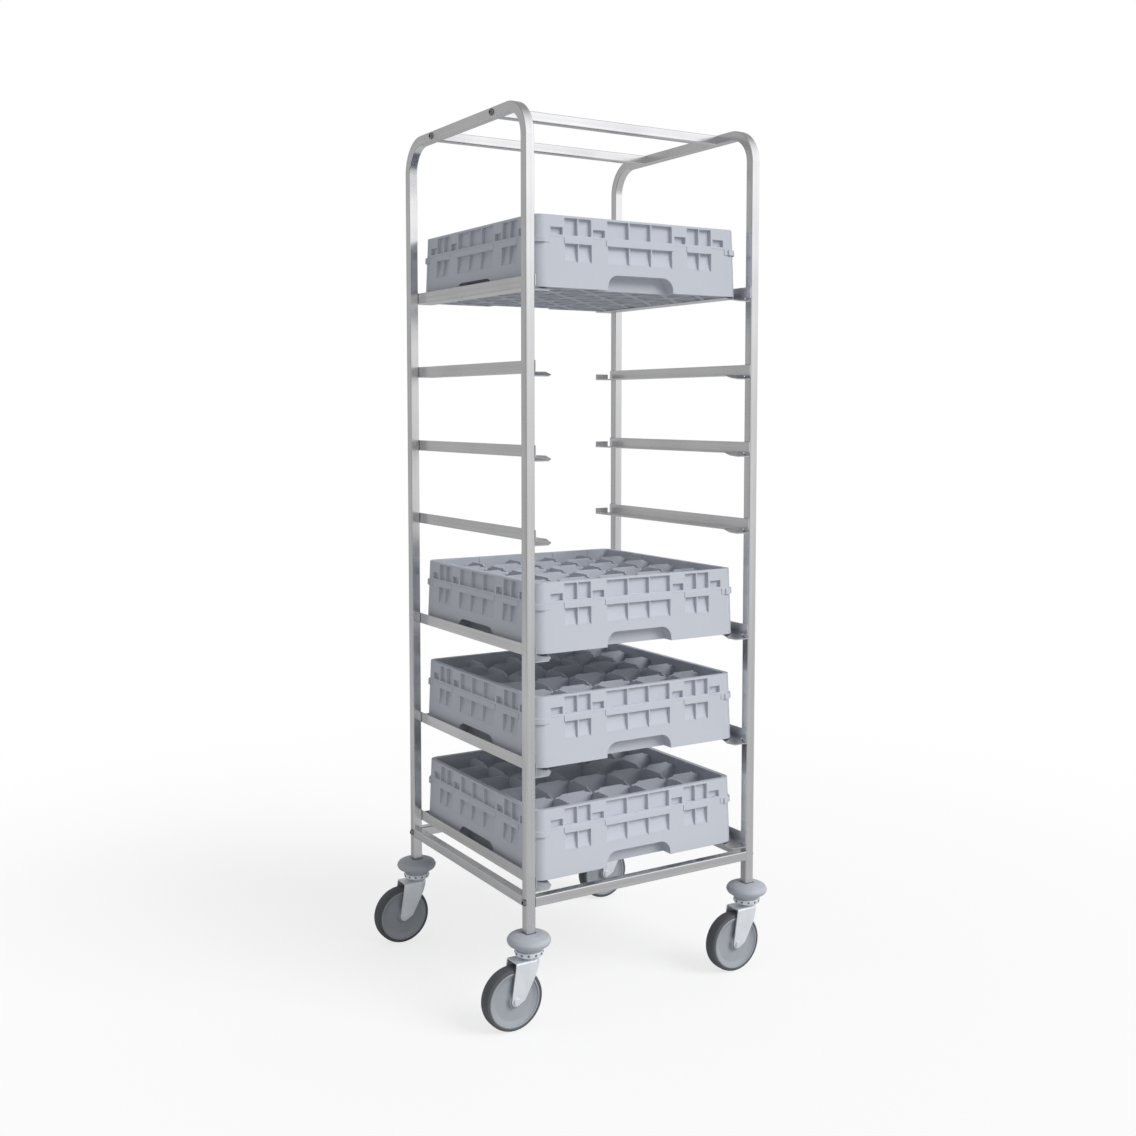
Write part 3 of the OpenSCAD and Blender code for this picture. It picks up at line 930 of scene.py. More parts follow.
@dataclass
class TubeFrame:
    """Two bent side frames and the bars that tie them together.

    Attributes:
        shop: Where the pieces are made.
        edge_radius: Rounding of the tube's long edges.
        edge_steps: Steps in that rounding.
        bend_radius: Radius of the bends at the middle of the tube.
        bend_steps: Steps in each bend.
        bead: Radius of one bead of the welds at the side base bars.
        beads: Beads along each side of such a weld.
        bead_sink: How far a bead is sunk into the tube, as a share of its radius.
    """

    shop: Workshop
    edge_radius: float = 2.4 * MM
    edge_steps: int = 4
    bend_radius: float = 64 * MM
    bend_steps: int = 28
    bead: float = 1.3 * MM
    beads: int = 10
    bead_sink: float = 0.3
    BEAD_SHAPE = (1.0, 0.7, 1.0)
    BEAD_SPREAD = 0.12
    SIDE_FRAMES = ("left_side_tube", "right_side_tube")
    WELDED_BARS = ("left_base_bar", "right_base_bar")
    BOLTED_BARS = ("front_base_bar", "rear_base_bar", "front_top_bar", "rear_top_bar")

    def __post_init__(self) -> None:
        """Reads the tube's side off a packed side frame."""
        low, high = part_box(self.SIDE_FRAMES[0])
        self.side = high.x - low.x

    def build(self) -> None:
        """Builds every tube and the welds at the side base bars."""
        for node in self.SIDE_FRAMES:
            self._run(node, self._arch(node))
        for node in (*self.WELDED_BARS, *self.BOLTED_BARS):
            self._run(node, self._middle_line(node))
        bead = weld_bead(self.bead, self.BEAD_SHAPE)
        places = self._weld_places()
        mesh = self.shop.repeats.repeat(bead, places, WELD_STEEL, self.BEAD_SPREAD)
        self.shop.fit("base_weld_beads", mesh, WELD_STEEL, FRAME_BODY)

    def _weld_places(self) -> list[Place]:
        """Sets out the beads round both ends of the side base bars.

        Returns:
            Point and angles of each bead.
        """
        places = []
        flat = self.side / 2 - self.edge_radius
        out = self.side / 2 - self.bead_sink * self.bead
        for node in self.WELDED_BARS:
            low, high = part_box(node)
            middle = (low + high) / 2
            for end in (low.y, high.y):
                for quarter in range(4):
                    spin = Matrix.Rotation(quarter * math.pi / 2, 3, "Y")
                    for index in range(self.beads):
                        along = (2 * index / (self.beads - 1) - 1) * flat
                        spot = spin @ Vector((along, 0, out))
                        place = Vector((middle.x + spot.x, end, middle.z + spot.z))
                        places.append((place, Vector()))
        return places

    def _arch(self, node: str) -> list[Vector]:
        """Follows a side frame's middle line.

        Args:
            node: Name of the side frame's node.

        Returns:
            Corners of the line, from foot to foot.
        """
        low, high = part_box(node)
        half = self.side / 2
        across = (low.x + high.x) / 2
        front, rear, top = low.y + half, high.y - half, high.z - half
        turns = ((front, low.z), (front, top), (rear, top), (rear, low.z))
        return [Vector((across, depth, level)) for depth, level in turns]

    @staticmethod
    def _middle_line(node: str) -> list[Vector]:
        """Follows a straight bar's middle line.

        Args:
            node: Name of the bar's node.

        Returns:
            Both ends of the line.
        """
        low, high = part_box(node)
        middle = (low + high) / 2
        longest = max(range(3), key=lambda axis: high[axis] - low[axis])
        ends = [middle.copy(), middle.copy()]
        ends[0][longest], ends[1][longest] = low[longest], high[longest]
        return ends

    def _run(self, node: str, path: Sequence[Vector]) -> None:
        """Builds the tube of one node.

        Args:
            node: Name of the node.
            path: Corners of its middle line.
        """
        seed = bpy.data.meshes.new("path")
        seed.from_pydata(path, [(i, i + 1) for i in range(len(path) - 1)], [])
        values = {
            "Side": self.side,
            "Edge radius": self.edge_radius,
            "Bend radius": self.bend_radius,
            "Bend steps": self.bend_steps,
            "Edge steps": self.edge_steps,
            "Finish": TUBE_STEEL.material(),
        }
        mesh = self.shop.tubes.grow(seed, values)
        self.shop.fit(f"{node}_brushed", mesh, TUBE_STEEL, FRAME_BODY, [node])


@dataclass
class FrameBolts:
    """Domed bolts that hold the bars, and the plugs that they screw into.

    Attributes:
        shop: Where the pieces are made.
        head_radius: Radius of a head.
        head_height: Height of the dome.
        key_radius: Radius of the hexagon recess.
        key_depth: Depth of that recess.
        shank_radius: Radius of the shank.
        shank: Length of the shank.
        washer_height: Height of the flange under the dome.
    """

    shop: Workshop
    head_radius: float = 7 * MM
    head_height: float = 4.6 * MM
    key_radius: float = 3.2 * MM
    key_depth: float = 2.8 * MM
    shank_radius: float = 4 * MM
    shank: float = 43 * MM
    washer_height: float = 0.9 * MM
    NODE = "frame_bolts"
    INSERTS = "bar_end_inserts"
    DOME_ANGLES = range(0, 70, 10)
    POINTS_ROUND = 24

    def build(self) -> None:
        """Builds the bolts and dresses the plugs."""
        # The bolts take the darker steel, whose tone is painted shade on their heads.
        mesh = self.shop.repeats.repeat(self._bolt(), self._places(), STEEL_WITH_PAINTED_SHADE)
        self.shop.fit("domed_frame_bolts", mesh, STEEL_WITH_PAINTED_SHADE, FRAME_BODY, [self.NODE])
        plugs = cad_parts[self.INSERTS].data
        plugs.materials.clear()
        plugs.materials.append(ZINC.material())
        LOG.info("%s: kept, with a zinc finish", self.INSERTS)

    def _bolt(self) -> bpy.types.Mesh:
        """Turns one bolt.

        Returns:
            The bolt, with its head towards +Z and its seat at zero.
        """
        rise, floor = self.head_height - self.washer_height, self.head_height - self.key_depth
        dome = [
            (self.head_radius * math.cos(turn), self.washer_height + rise * math.sin(turn))
            for turn in map(math.radians, self.DOME_ANGLES)
        ]
        outline = [(self.shank_radius, -self.shank), (self.shank_radius, 0), (self.head_radius, 0)]
        outline += dome
        outline += [(self.key_radius, self.head_height), (self.key_radius, floor)]
        shape = Shape()
        shape.turn_up(rings(outline), Vector(), UP, self.POINTS_ROUND)
        return shape.mesh("bolt")

    def _places(self) -> list[Place]:
        """Sets out the bolts on the outer faces of the side frames.

        Returns:
            Seat and angles of each bolt.
        """
        left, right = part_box("left_side_tube")[0].x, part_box("right_side_tube")[1].x
        places = []
        for node in TubeFrame.BOLTED_BARS:
            low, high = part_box(node)
            middle = (low + high) / 2
            for across, turn in ((left, -math.pi / 2), (right, math.pi / 2)):
                places.append((Vector((across, middle.y, middle.z)), Vector((0, turn, 0))))
        return places


@dataclass
class AngleRails:
    """Seven pairs of folded rails with their weld beads.

    Attributes:
        shop: Where the pieces are made.
        upright: Height of the upright flange.
        fold_radius: Rounding of the fold.
        edge_radius: Rounding of the sheared edges.
        bead: Radius of one weld bead.
        beads: Beads in a weld.
        bead_step: Spacing of the beads, as a share of their radius.
        bead_turn: Turn from bead to bead.
    """

    shop: Workshop
    upright: float = 23 * MM
    fold_radius: float = 1.8 * MM
    edge_radius: float = 0.35 * MM
    bead: float = 1.7 * MM
    beads: int = 7
    bead_step: float = 1.25
    bead_turn: float = 0.3
    BEAD_SHAPE = (0.8, 1.0, 0.8)
    BEAD_SPREAD = 0.12
    LEVELS = range(1, 8)
    SIDES = {"left": -1, "right": 1}

    def build(self) -> None:
        """Builds the rails and their welds."""
        for side in self.SIDES:
            self._side(side)
        bead = weld_bead(self.bead, self.BEAD_SHAPE)
        mesh = self.shop.repeats.repeat(bead, self._places(), WELD_STEEL, self.BEAD_SPREAD)
        self.shop.fit("rail_weld_beads", mesh, WELD_STEEL, FRAME_BODY)

    def _side(self, side: str) -> None:
        """Builds the rails of one side from the top one.

        Args:
            side: Name of the side.
        """
        first = f"{side}_rail_1"
        low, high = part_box(first)
        outer = low.x if self.SIDES[side] < 0 else high.x
        fold = high.z - self.upright
        shape = Shape.of_node(first)

        def on_fold(edge: bmesh.types.BMEdge) -> bool:
            """Whether an edge lies along the outside of the fold."""
            return all(abs(v.co.x - outer) < TINY and abs(v.co.z - fold) < TINY for v in edge.verts)

        shape.round_edges(self.fold_radius, steps=4, chosen=on_fold)
        shape.round_edges(self.edge_radius, least=50.0)
        mesh = shape.mesh(first)
        for level in self.LEVELS:
            node = f"{side}_rail_{level}"
            step = low_corner(node) - low
            self.shop.fit(f"{node}_folded", moved(mesh, step), RAIL_STEEL, FRAME_BODY, [node])

    def _places(self) -> list[Place]:
        """Sets out the beads along the top edge of each rail where it meets a post.

        Returns:
            Point and angles of each bead.
        """
        low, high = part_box("left_side_tube")
        side = high.x - low.x
        places = []
        for name, sign in self.SIDES.items():
            for level in self.LEVELS:
                rail_low, rail_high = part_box(f"{name}_rail_{level}")
                across = rail_low.x if sign < 0 else rail_high.x
                for end in (low.y + side / 2, high.y - side / 2):
                    for index in range(self.beads):
                        steps = index - (self.beads - 1) / 2
                        along = end + steps * self.bead_step * self.bead
                        turn = Vector((0, 0, self.bead_turn * index))
                        places.append((Vector((across, along, rail_high.z)), turn))
        return places


@dataclass
class Castor:
    """Swivel castor with its bumper, at one corner.

    Attributes:
        shop: Where the pieces are made.
        corner: Name of the corner.
        post: Side of the post that stands in the bumper.
        seat: Depth of the seat for the post.
        flat_share: Radius of the flat round that seat, as a share of the post's side.
        kingpin: Radius of the kingpin.
        rivet: Radius, height and rounding of the kingpin's rivet.
        crown: Thickness of the fork's crown.
        race: Height of the raised race on the crown.
        stem: Radius of the stem.
        plug: Side and length of the plug in the post.
        dimples: Pressed dimples round the swivel head, in a darker steel as painted shade.
        dimple: Radius of a dimple.
        fold: Rounding of the fork's folds.
        fork_edge: Rounding of the fork's cut edges.
        bolt_edge: Rounding of the axle bolt's head and nut.
        gap: Running gap of the swivel.
        parting: Half the width of the flat on the tyre's parting line.
        lip: How far the hub's lip stands back from the tyre's side.
        web: How far the hub's web stands back from the tyre's side.
    """

    shop: Workshop
    corner: str
    post: float = 20 * MM
    seat: float = 6 * MM
    flat_share: float = 0.8
    kingpin: float = 7 * MM
    rivet: tuple[float, float, float] = (12.5 * MM, 3 * MM, 2 * MM)
    crown: float = 3 * MM
    race: float = 4 * MM
    stem: float = 6 * MM
    plug: tuple[float, float] = (16.6 * MM, 40 * MM)
    dimples: int = 12
    dimple: float = 2.8 * MM
    fold: float = 5.0 * MM
    fork_edge: float = 0.5 * MM
    bolt_edge: float = 0.9 * MM
    gap: float = 0.3 * MM
    parting: float = 0.5 * MM
    lip: float = 0.2 * MM
    web: float = 5.7 * MM
    DIMPLE_SHAPE = (0.35, 1.0, 0.9)
    RIM_NEAR = 5 * TINY
    BUMPER_STEPS = 6
    HUB_POINTS = 96
    TYRE_POINTS = 128
    # Corners of the turned outlines as offsets and roundings, in millimetres
    BUMPER_FOOT = ((-0.6, 0, 0.6), (0, 1.5, 2))
    BUMPER_BELLY = ((-3, 9.5, 8),)
    BUMPER_DOME = ((0.5, -14, 6), (-4, -6.5, 8), (-16, -1.5, 10))
    SEAT_RIM = ((2.2, 0, 0), (1.7, -0.4, 0), (1.5, -1.2, 0))
    SEAT_FOOT = ((1.2, 0, 0),)
    HEAD_SKIRT = ((-6, 0, 0), (-4, 1.5, 0.8), (-1, 1.5, 0.9), (0, 3.5, 1.5))
    HEAD_BRIM = ((0, -2.5, 1.8), (-3.5, -1.5, 1), (-4, 0, 0))
    HUB_BOSS = ((6.56, 0, 0), (13, 0, 1.5))
    HUB_WEB = ((15.5, 1.4, 2), (19, 0, 2))
    HUB_DISH = ((-13, 0, 6),)
    HUB_LIP = ((-4.2, -2, 0.6), (-3.2, 0, 0.8), (-0.9, 0, 0.6), (0, -0.9, 0))
    TYRE_BEAD = ((0, -1, 0), (0.8, -0.2, 0.5), (2, 0, 1))
    TYRE_SHOULDER = ((-1.6, -1.8, 3), (-0.3, -6.5, 4))

    def __post_init__(self) -> None:
        """Reads the castor's place off its packed bumper."""
        low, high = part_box(self._node("bumper"))
        self.axis = Vector(((low.x + high.x) / 2, (low.y + high.y) / 2, 0))
        self.under, self.top, self.reach = low.z, high.z, (high.x - low.x) / 2
        self.swivel, self.wheel = f"{self.corner}_swivel", f"{self.corner}_wheel"

    def build(self) -> None:
        """Builds the castor's pieces."""
        self._bumper()
        self._head()
        self._fork()
        self._axle()
        self._hub()
        self._tyre()

    def _node(self, part: str) -> str:
        """Name of a part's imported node."""
        return f"{self.corner}_{part}"

    def _fit(self, part: str, kind: str, shape: Shape, finish: Finish, body: str) -> None:
        """Fits a piece that stands for one node."""
        node = self._node(part)
        self.shop.fit(f"{node}_{kind}", shape.mesh(node), finish, body, [node])

    def _bumper(self) -> None:
        """Round bumper with a full belly, a domed top and a square seat."""
        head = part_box(self._node("castor_head"))
        foot = (head[1].x - head[0].x) / 2
        skin = [(self.stem, self.under, 0)]
        skin += corners_from(foot, self.under, self.BUMPER_FOOT)
        skin += corners_from(self.reach, self.under, self.BUMPER_BELLY)
        skin += corners_from(self.reach, self.top, self.BUMPER_DOME)
        skin += [(self.flat_share * self.post, self.top, 0)]
        floor = self.top - self.seat
        seat = corners_from(self.post / 2, self.top, self.SEAT_RIM)
        seat += corners_from(self.post / 2, floor, self.SEAT_FOOT)
        course = rings(rounded_outline(skin, self.BUMPER_STEPS))
        course += [Ring(half, level, True) for half, level, _ in seat]
        course += [Ring(self.stem, floor)]
        shape = Shape()
        shape.turn_up(course, self.axis, UP, loop=True)
        self._fit("bumper", "moulded", shape, BUMPER_PLASTIC, FRAME_BODY)

    def _head(self) -> None:
        """Swivel head with its stem, kingpin and rivet, and the dimples round it in darker steel as
        painted shade.
        """
        low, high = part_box(self._node("castor_head"))
        fork_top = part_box(self._node("fork"))[1].z
        radius = (high.x - low.x) / 2
        base = fork_top + self.gap
        rivet_radius, rivet_height, rivet_edge = self.rivet
        crown_low = fork_top - self.race - self.crown - self.gap
        skin = [
            (0, crown_low - rivet_height, 0),
            (rivet_radius, crown_low - rivet_height, rivet_edge),
            (rivet_radius, crown_low, 0),
            (self.kingpin, crown_low, 0),
            (self.kingpin, base, 0),
        ]
        skin += corners_from(radius, base, self.HEAD_SKIRT)
        skin += corners_from(radius, self.under, self.HEAD_BRIM)
        skin += [(self.stem, self.under, 0), (self.stem, self.top - self.seat, 0)]
        side, length = self.plug
        foot = high.z - length
        course = rings(rounded_outline(skin)) + [Ring(self.stem, foot)]
        course += [Ring(side / 2, level, True) for level in (foot, high.z)]
        shape = Shape()
        shape.turn_up(course, self.axis, UP)
        self._fit("castor_head", "pressed", shape, ZINC, FRAME_BODY)
        middle = (base + self.under) / 2
        places = []
        for index in range(self.dimples):
            angle = 2 * math.pi * index / self.dimples
            out = Vector((math.cos(angle), math.sin(angle), 0))
            places.append((self.axis + radius * out + middle * UP, Vector((0, 0, angle))))
        # The dimples take the darker steel too, as painted shade of pressed recesses.
        mesh = self.shop.repeats.repeat(self._dimple(), places, STEEL_WITH_PAINTED_SHADE)
        self.shop.fit(f"{self.corner}_head_dimples", mesh, STEEL_WITH_PAINTED_SHADE, FRAME_BODY)

    def _dimple(self) -> bpy.types.Mesh:
        """Shapes one shallow pressed bump.

        Returns:
            The bump, which faces +X.
        """
        shape = Shape()
        bmesh.ops.create_icosphere(shape.bm, subdivisions=2, radius=self.dimple)
        bmesh.ops.scale(shape.bm, vec=self.DIMPLE_SHAPE, verts=shape.bm.verts)
        return shape.mesh("dimple")

    def _fork(self) -> None:
        """Pressed fork with rounded folds."""
        node = self._node("fork")
        low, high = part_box(node)
        crown_top = high.z - self.race
        half = (high.y - low.y) / 2
        shape = Shape.of_node(node)

        def on_rim(point: Vector) -> bool:
            """Tells the rim of the crown, along a leg or round the front.

            Args:
                point: Point of the fork.

            Returns:
                Whether the point lies on that rim.
            """
            out = point - self.axis
            across = abs(out.y) if out.x < 0 else math.hypot(out.x, out.y)
            return abs(point.z - crown_top) < TINY and abs(across - half) < self.RIM_NEAR

        def on_shoulder(edge: bmesh.types.BMEdge) -> bool:
            """Whether an edge is the fold between the crown and the legs or the front."""
            return all(on_rim(v.co) for v in edge.verts)

        shape.round_edges(self.fold, steps=5, chosen=on_shoulder)
        shape.round_edges(self.fork_edge, least=40.0)
        self._fit("fork", "pressed", shape, ZINC, self.swivel)

    def _axle(self) -> None:
        """Axle bolt with its rounded head, nut and sleeve."""
        node = self._node("axle_set")
        low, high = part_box(node)
        shape = Shape.of_node(node)

        def on_head(edge: bmesh.types.BMEdge) -> bool:
            """Whether an edge lies at the outer end of the head or nut."""
            return all(min(abs(v.co.y - low.y), abs(v.co.y - high.y)) < TINY for v in edge.verts)

        shape.round_edges(self.bolt_edge, steps=3, chosen=on_head)
        self._fit("axle_set", "turned", shape, ZINC, self.swivel)

    def _wheel_centre(self, part: str) -> tuple[Vector, Vector]:
        """Middle and half size of a wheel part."""
        low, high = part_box(self._node(part))
        return (low + high) / 2, (high - low) / 2

    def _hub(self) -> None:
        """Hub with a raised lip, a dished web and a boss."""
        centre, half = self._wheel_centre("hub")
        radius, boss = half.x, half.y
        tyre_half = self._wheel_centre("tyre")[1].y
        lip, web = tyre_half - self.lip, tyre_half - self.web
        side = corners_from(0, boss, self.HUB_BOSS) + corners_from(0, web, self.HUB_WEB)
        side += corners_from(radius, web, self.HUB_DISH)
        side += corners_from(radius, lip, self.HUB_LIP)
        self._turn_wheel("hub", side, centre, HUB_PLASTIC, self.HUB_POINTS)

    def _tyre(self) -> None:
        """Tyre with full shoulders, a ridge on each side and a fine parting line."""
        centre, half = self._wheel_centre("tyre")
        bead = self._wheel_centre("hub")[1].x
        radius, wide = half.x, half.y
        side = corners_from(bead, wide, self.TYRE_BEAD)
        side += corners_from(radius, wide, self.TYRE_SHOULDER) + [(radius, self.parting, 0)]
        self._turn_wheel("tyre", side, centre, TYRE_RUBBER, self.TYRE_POINTS)

    def _turn_wheel(
        self, part: str, side: Sequence[Corner], centre: Vector, finish: Finish, points: int
    ) -> None:
        """Turns a part of the wheel whose two sides are alike.

        Args:
            part: Name of the part.
            side: Corners of one side's outline.
            centre: Middle of the wheel.
            finish: Finish of the part.
            points: Points on each ring.
        """
        front = rounded_outline(side)
        outline = front + [(across, -level) for across, level in reversed(front)]
        shape = Shape()
        shape.turn_up(rings(outline), centre, FRONT, points, loop=True)
        self._fit(part, "moulded", shape, finish, self.wheel)


@dataclass
class GlassRacks:
    """Four grey racks of one pattern, each a base, an extender and crossed dividers.

    Attributes:
        shop: Where the pieces are made.
        edge: Rounding of the moulded edges.
        thin_edge: Rounding of the divider strips' edges.
        lean: Lean of the walls, as run over rise.
        play: Play between the dividers and the walls.
        pad: Width, depth and height of a pad on the inner wall behind a latch window.
        pad_drop: Distance of a pad from the rim above it.
        latches: Distances of the latch windows from the middle of a wall.
        pocket: Foot, height and depth of the pockets in the base, which run out downwards.
        run_out: Shares of that height and depth on the soft line of a pocket's foot, from the top.
        cells: Compartments along each side.
        pitch: Spacing of the divider strips.
        strip: Thickness of a divider strip.
        dip: Depth of the dips between the humps of a strip.
        shoulders: Steps of a hump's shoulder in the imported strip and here, as shares of pitch
            and dip.
    """

    shop: Workshop
    edge: float = 0.6 * MM
    thin_edge: float = 0.45 * MM
    lean: float = 6 / 140
    play: float = 0.2 * MM
    pad: tuple[float, float, float] = (36 * MM, 1.4 * MM, 39 * MM)
    pad_drop: float = 2 * MM
    latches: tuple[float, float] = (98.5 * MM, 196 * MM)
    pocket: tuple[float, float, float] = (50 * MM, 36 * MM, 8 * MM)
    run_out: tuple[tuple[float, float], ...] = ((0.6, 0.92), (0.12, 0.5))
    cells: int = 5
    pitch: float = 95.54 * MM
    strip: float = 2.5 * MM
    dip: float = 15 * MM
    shoulders: tuple[tuple[tuple[float, float], tuple[float, float]], ...] = (
        ((0.0, 0.0), (0.0, 0.22)),
        ((0.06, 0.42), (0.07, 0.66)),
        ((0.14, 0.78), (0.185, 0.78)),
        ((0.24, 1.0), (0.21, 1.0)),
    )
    LEVELS = (1, 5, 6, 7)
    PARTS = ("base", "extender", "dividers")
    RAMP_TILT = (0.15, 0.6)
    NEAR = 0.01

    def build(self) -> None:
        """Builds the top rack and moves copies of it to the other levels."""
        edges = {"base": self.edge, "extender": self.edge, "dividers": self.thin_edge}
        for part in self.PARTS:
            pattern = f"rack_{self.LEVELS[0]}_{part}"
            shape = Shape.of_node(pattern)
            if part == "base":
                self._soften(shape, pattern)
            if part == "dividers":
                self._step_humps(shape, pattern)
            shape.round_edges(edges[part], least=40.0)
            mesh = shape.mesh(part)
            for level in self.LEVELS:
                node = f"rack_{level}_{part}"
                copy = moved(mesh, low_corner(node) - low_corner(pattern))
                self.shop.fit(f"{node}_moulded", copy, RACK_PLASTIC, f"rack_{level}", [node])
        for level in self.LEVELS:
            mesh = self.shop.repeats.repeat(self._pad(), self._places(level), RACK_PLASTIC)
            self.shop.fit(f"rack_{level}_latch_pads", mesh, RACK_PLASTIC, f"rack_{level}")

    def _soften(self, shape: Shape, node: str) -> None:
        """Bends the straight run-out of the base's pockets into a soft foot.

        Args:
            shape: Copy of the base.
            node: The base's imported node.
        """
        low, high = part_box(node)
        middle = (low + high) / 2
        foot, rise, depth = self.pocket
        least, most = self.RAMP_TILT
        for share, deep in self.run_out:
            level = foot + share * rise
            reach = (high.x - low.x) / 2 - self.lean * level - deep * depth
            shape.bm.normal_update()
            ramps = [face for face in shape.bm.faces if least < face.normal.z < most]
            parts = {part for face in ramps for part in (face, *face.edges, *face.verts)}
            made = bmesh.ops.bisect_plane(
                shape.bm,
                geom=list(parts),
                dist=TINY,
                plane_co=(0, 0, low.z + level),
                plane_no=UP,
            )
            for vert in (part for part in made["geom_cut"] if isinstance(part, bmesh.types.BMVert)):
                out = vert.co - middle
                axis = 0 if abs(out.x) > abs(out.y) else 1
                vert.co[axis] = middle[axis] + math.copysign(reach, out[axis])

    def _step_humps(self, shape: Shape, node: str) -> None:
        """Gives the humps of the divider strips flat tops with a small step at each side.

        Args:
            shape: Copy of the strips.
            node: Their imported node.
        """
        low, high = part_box(node)
        middle = (low + high) / 2
        base = high.z - self.dip
        lines = [(index - self.cells / 2) * self.pitch for index in range(1, self.cells)]
        end = (high.x - low.x) / 2 - self.lean * (base - low.z)
        for vert in shape.bm.verts:
            if vert.co.z < base - TINY:
                continue
            out = vert.co - middle
            for axis in (0, 1):
                beside = min(abs(out[1 - axis] - line) for line in lines)
                if abs(beside - self.strip / 2) > TINY:
                    continue
                edge = min((-end, *lines, end), key=lambda place: abs(place - out[axis]))
                away = out[axis] - edge
                run, rise = self._step(abs(away) / self.pitch, (vert.co.z - base) / self.dip)
                vert.co[axis] = middle[axis] + edge + math.copysign(run * self.pitch, away)
                vert.co.z = base + rise * self.dip

    def _step(self, run: float, rise: float) -> tuple[float, float]:
        """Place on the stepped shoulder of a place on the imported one.

        Args:
            run: Share of the pitch from the dip.
            rise: Share of the dip above its foot.

        Returns:
            The new run and rise.
        """
        for (old_run, old_rise), new in self.shoulders:
            if max(abs(run - old_run), abs(rise - old_rise)) < self.NEAR:
                return new
        (_, start), (_, after) = self.shoulders[:2]
        return run, start[1] + (after[1] - start[1]) * run / after[0]

    def _pad(self) -> bpy.types.Mesh:
        """Shapes one pad that leans like the wall.

        Returns:
            The pad for the front wall, which faces +Y.
        """
        width, depth, height = self.pad
        shape = Shape()
        shape.box(Vector((-width / 2, -depth, 0)), Vector((width / 2, depth, height)))
        for vert in shape.bm.verts:
            vert.co.y += self.lean * vert.co.z
        shape.round_edges(self.edge)
        return shape.mesh("pad")

    def _places(self, level: int) -> list[Place]:
        """Sets out the pads on the four inner walls of an extender.

        Args:
            level: Level of the rack.

        Returns:
            Point and angles of each pad.
        """
        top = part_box(f"rack_{level}_extender")[1].z
        strips_low, strips_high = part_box(f"rack_{level}_dividers")
        middle = (strips_low + strips_high) / 2
        foot = top - self.pad[2] - self.pad_drop
        half = (strips_high.x - strips_low.x) / 2
        reach = half + self.play - self.lean * (foot - strips_low.z)
        places = []
        for quarter in range(4):
            turn = quarter * math.pi / 2
            spin = Matrix.Rotation(turn, 3, "Z")
            for across in (sign * latch for sign in (-1, 1) for latch in self.latches):
                spot = spin @ Vector((across, -reach, 0))
                place = Vector((middle.x + spot.x, middle.y + spot.y, foot))
                places.append((place, Vector((0, 0, turn))))
        return places


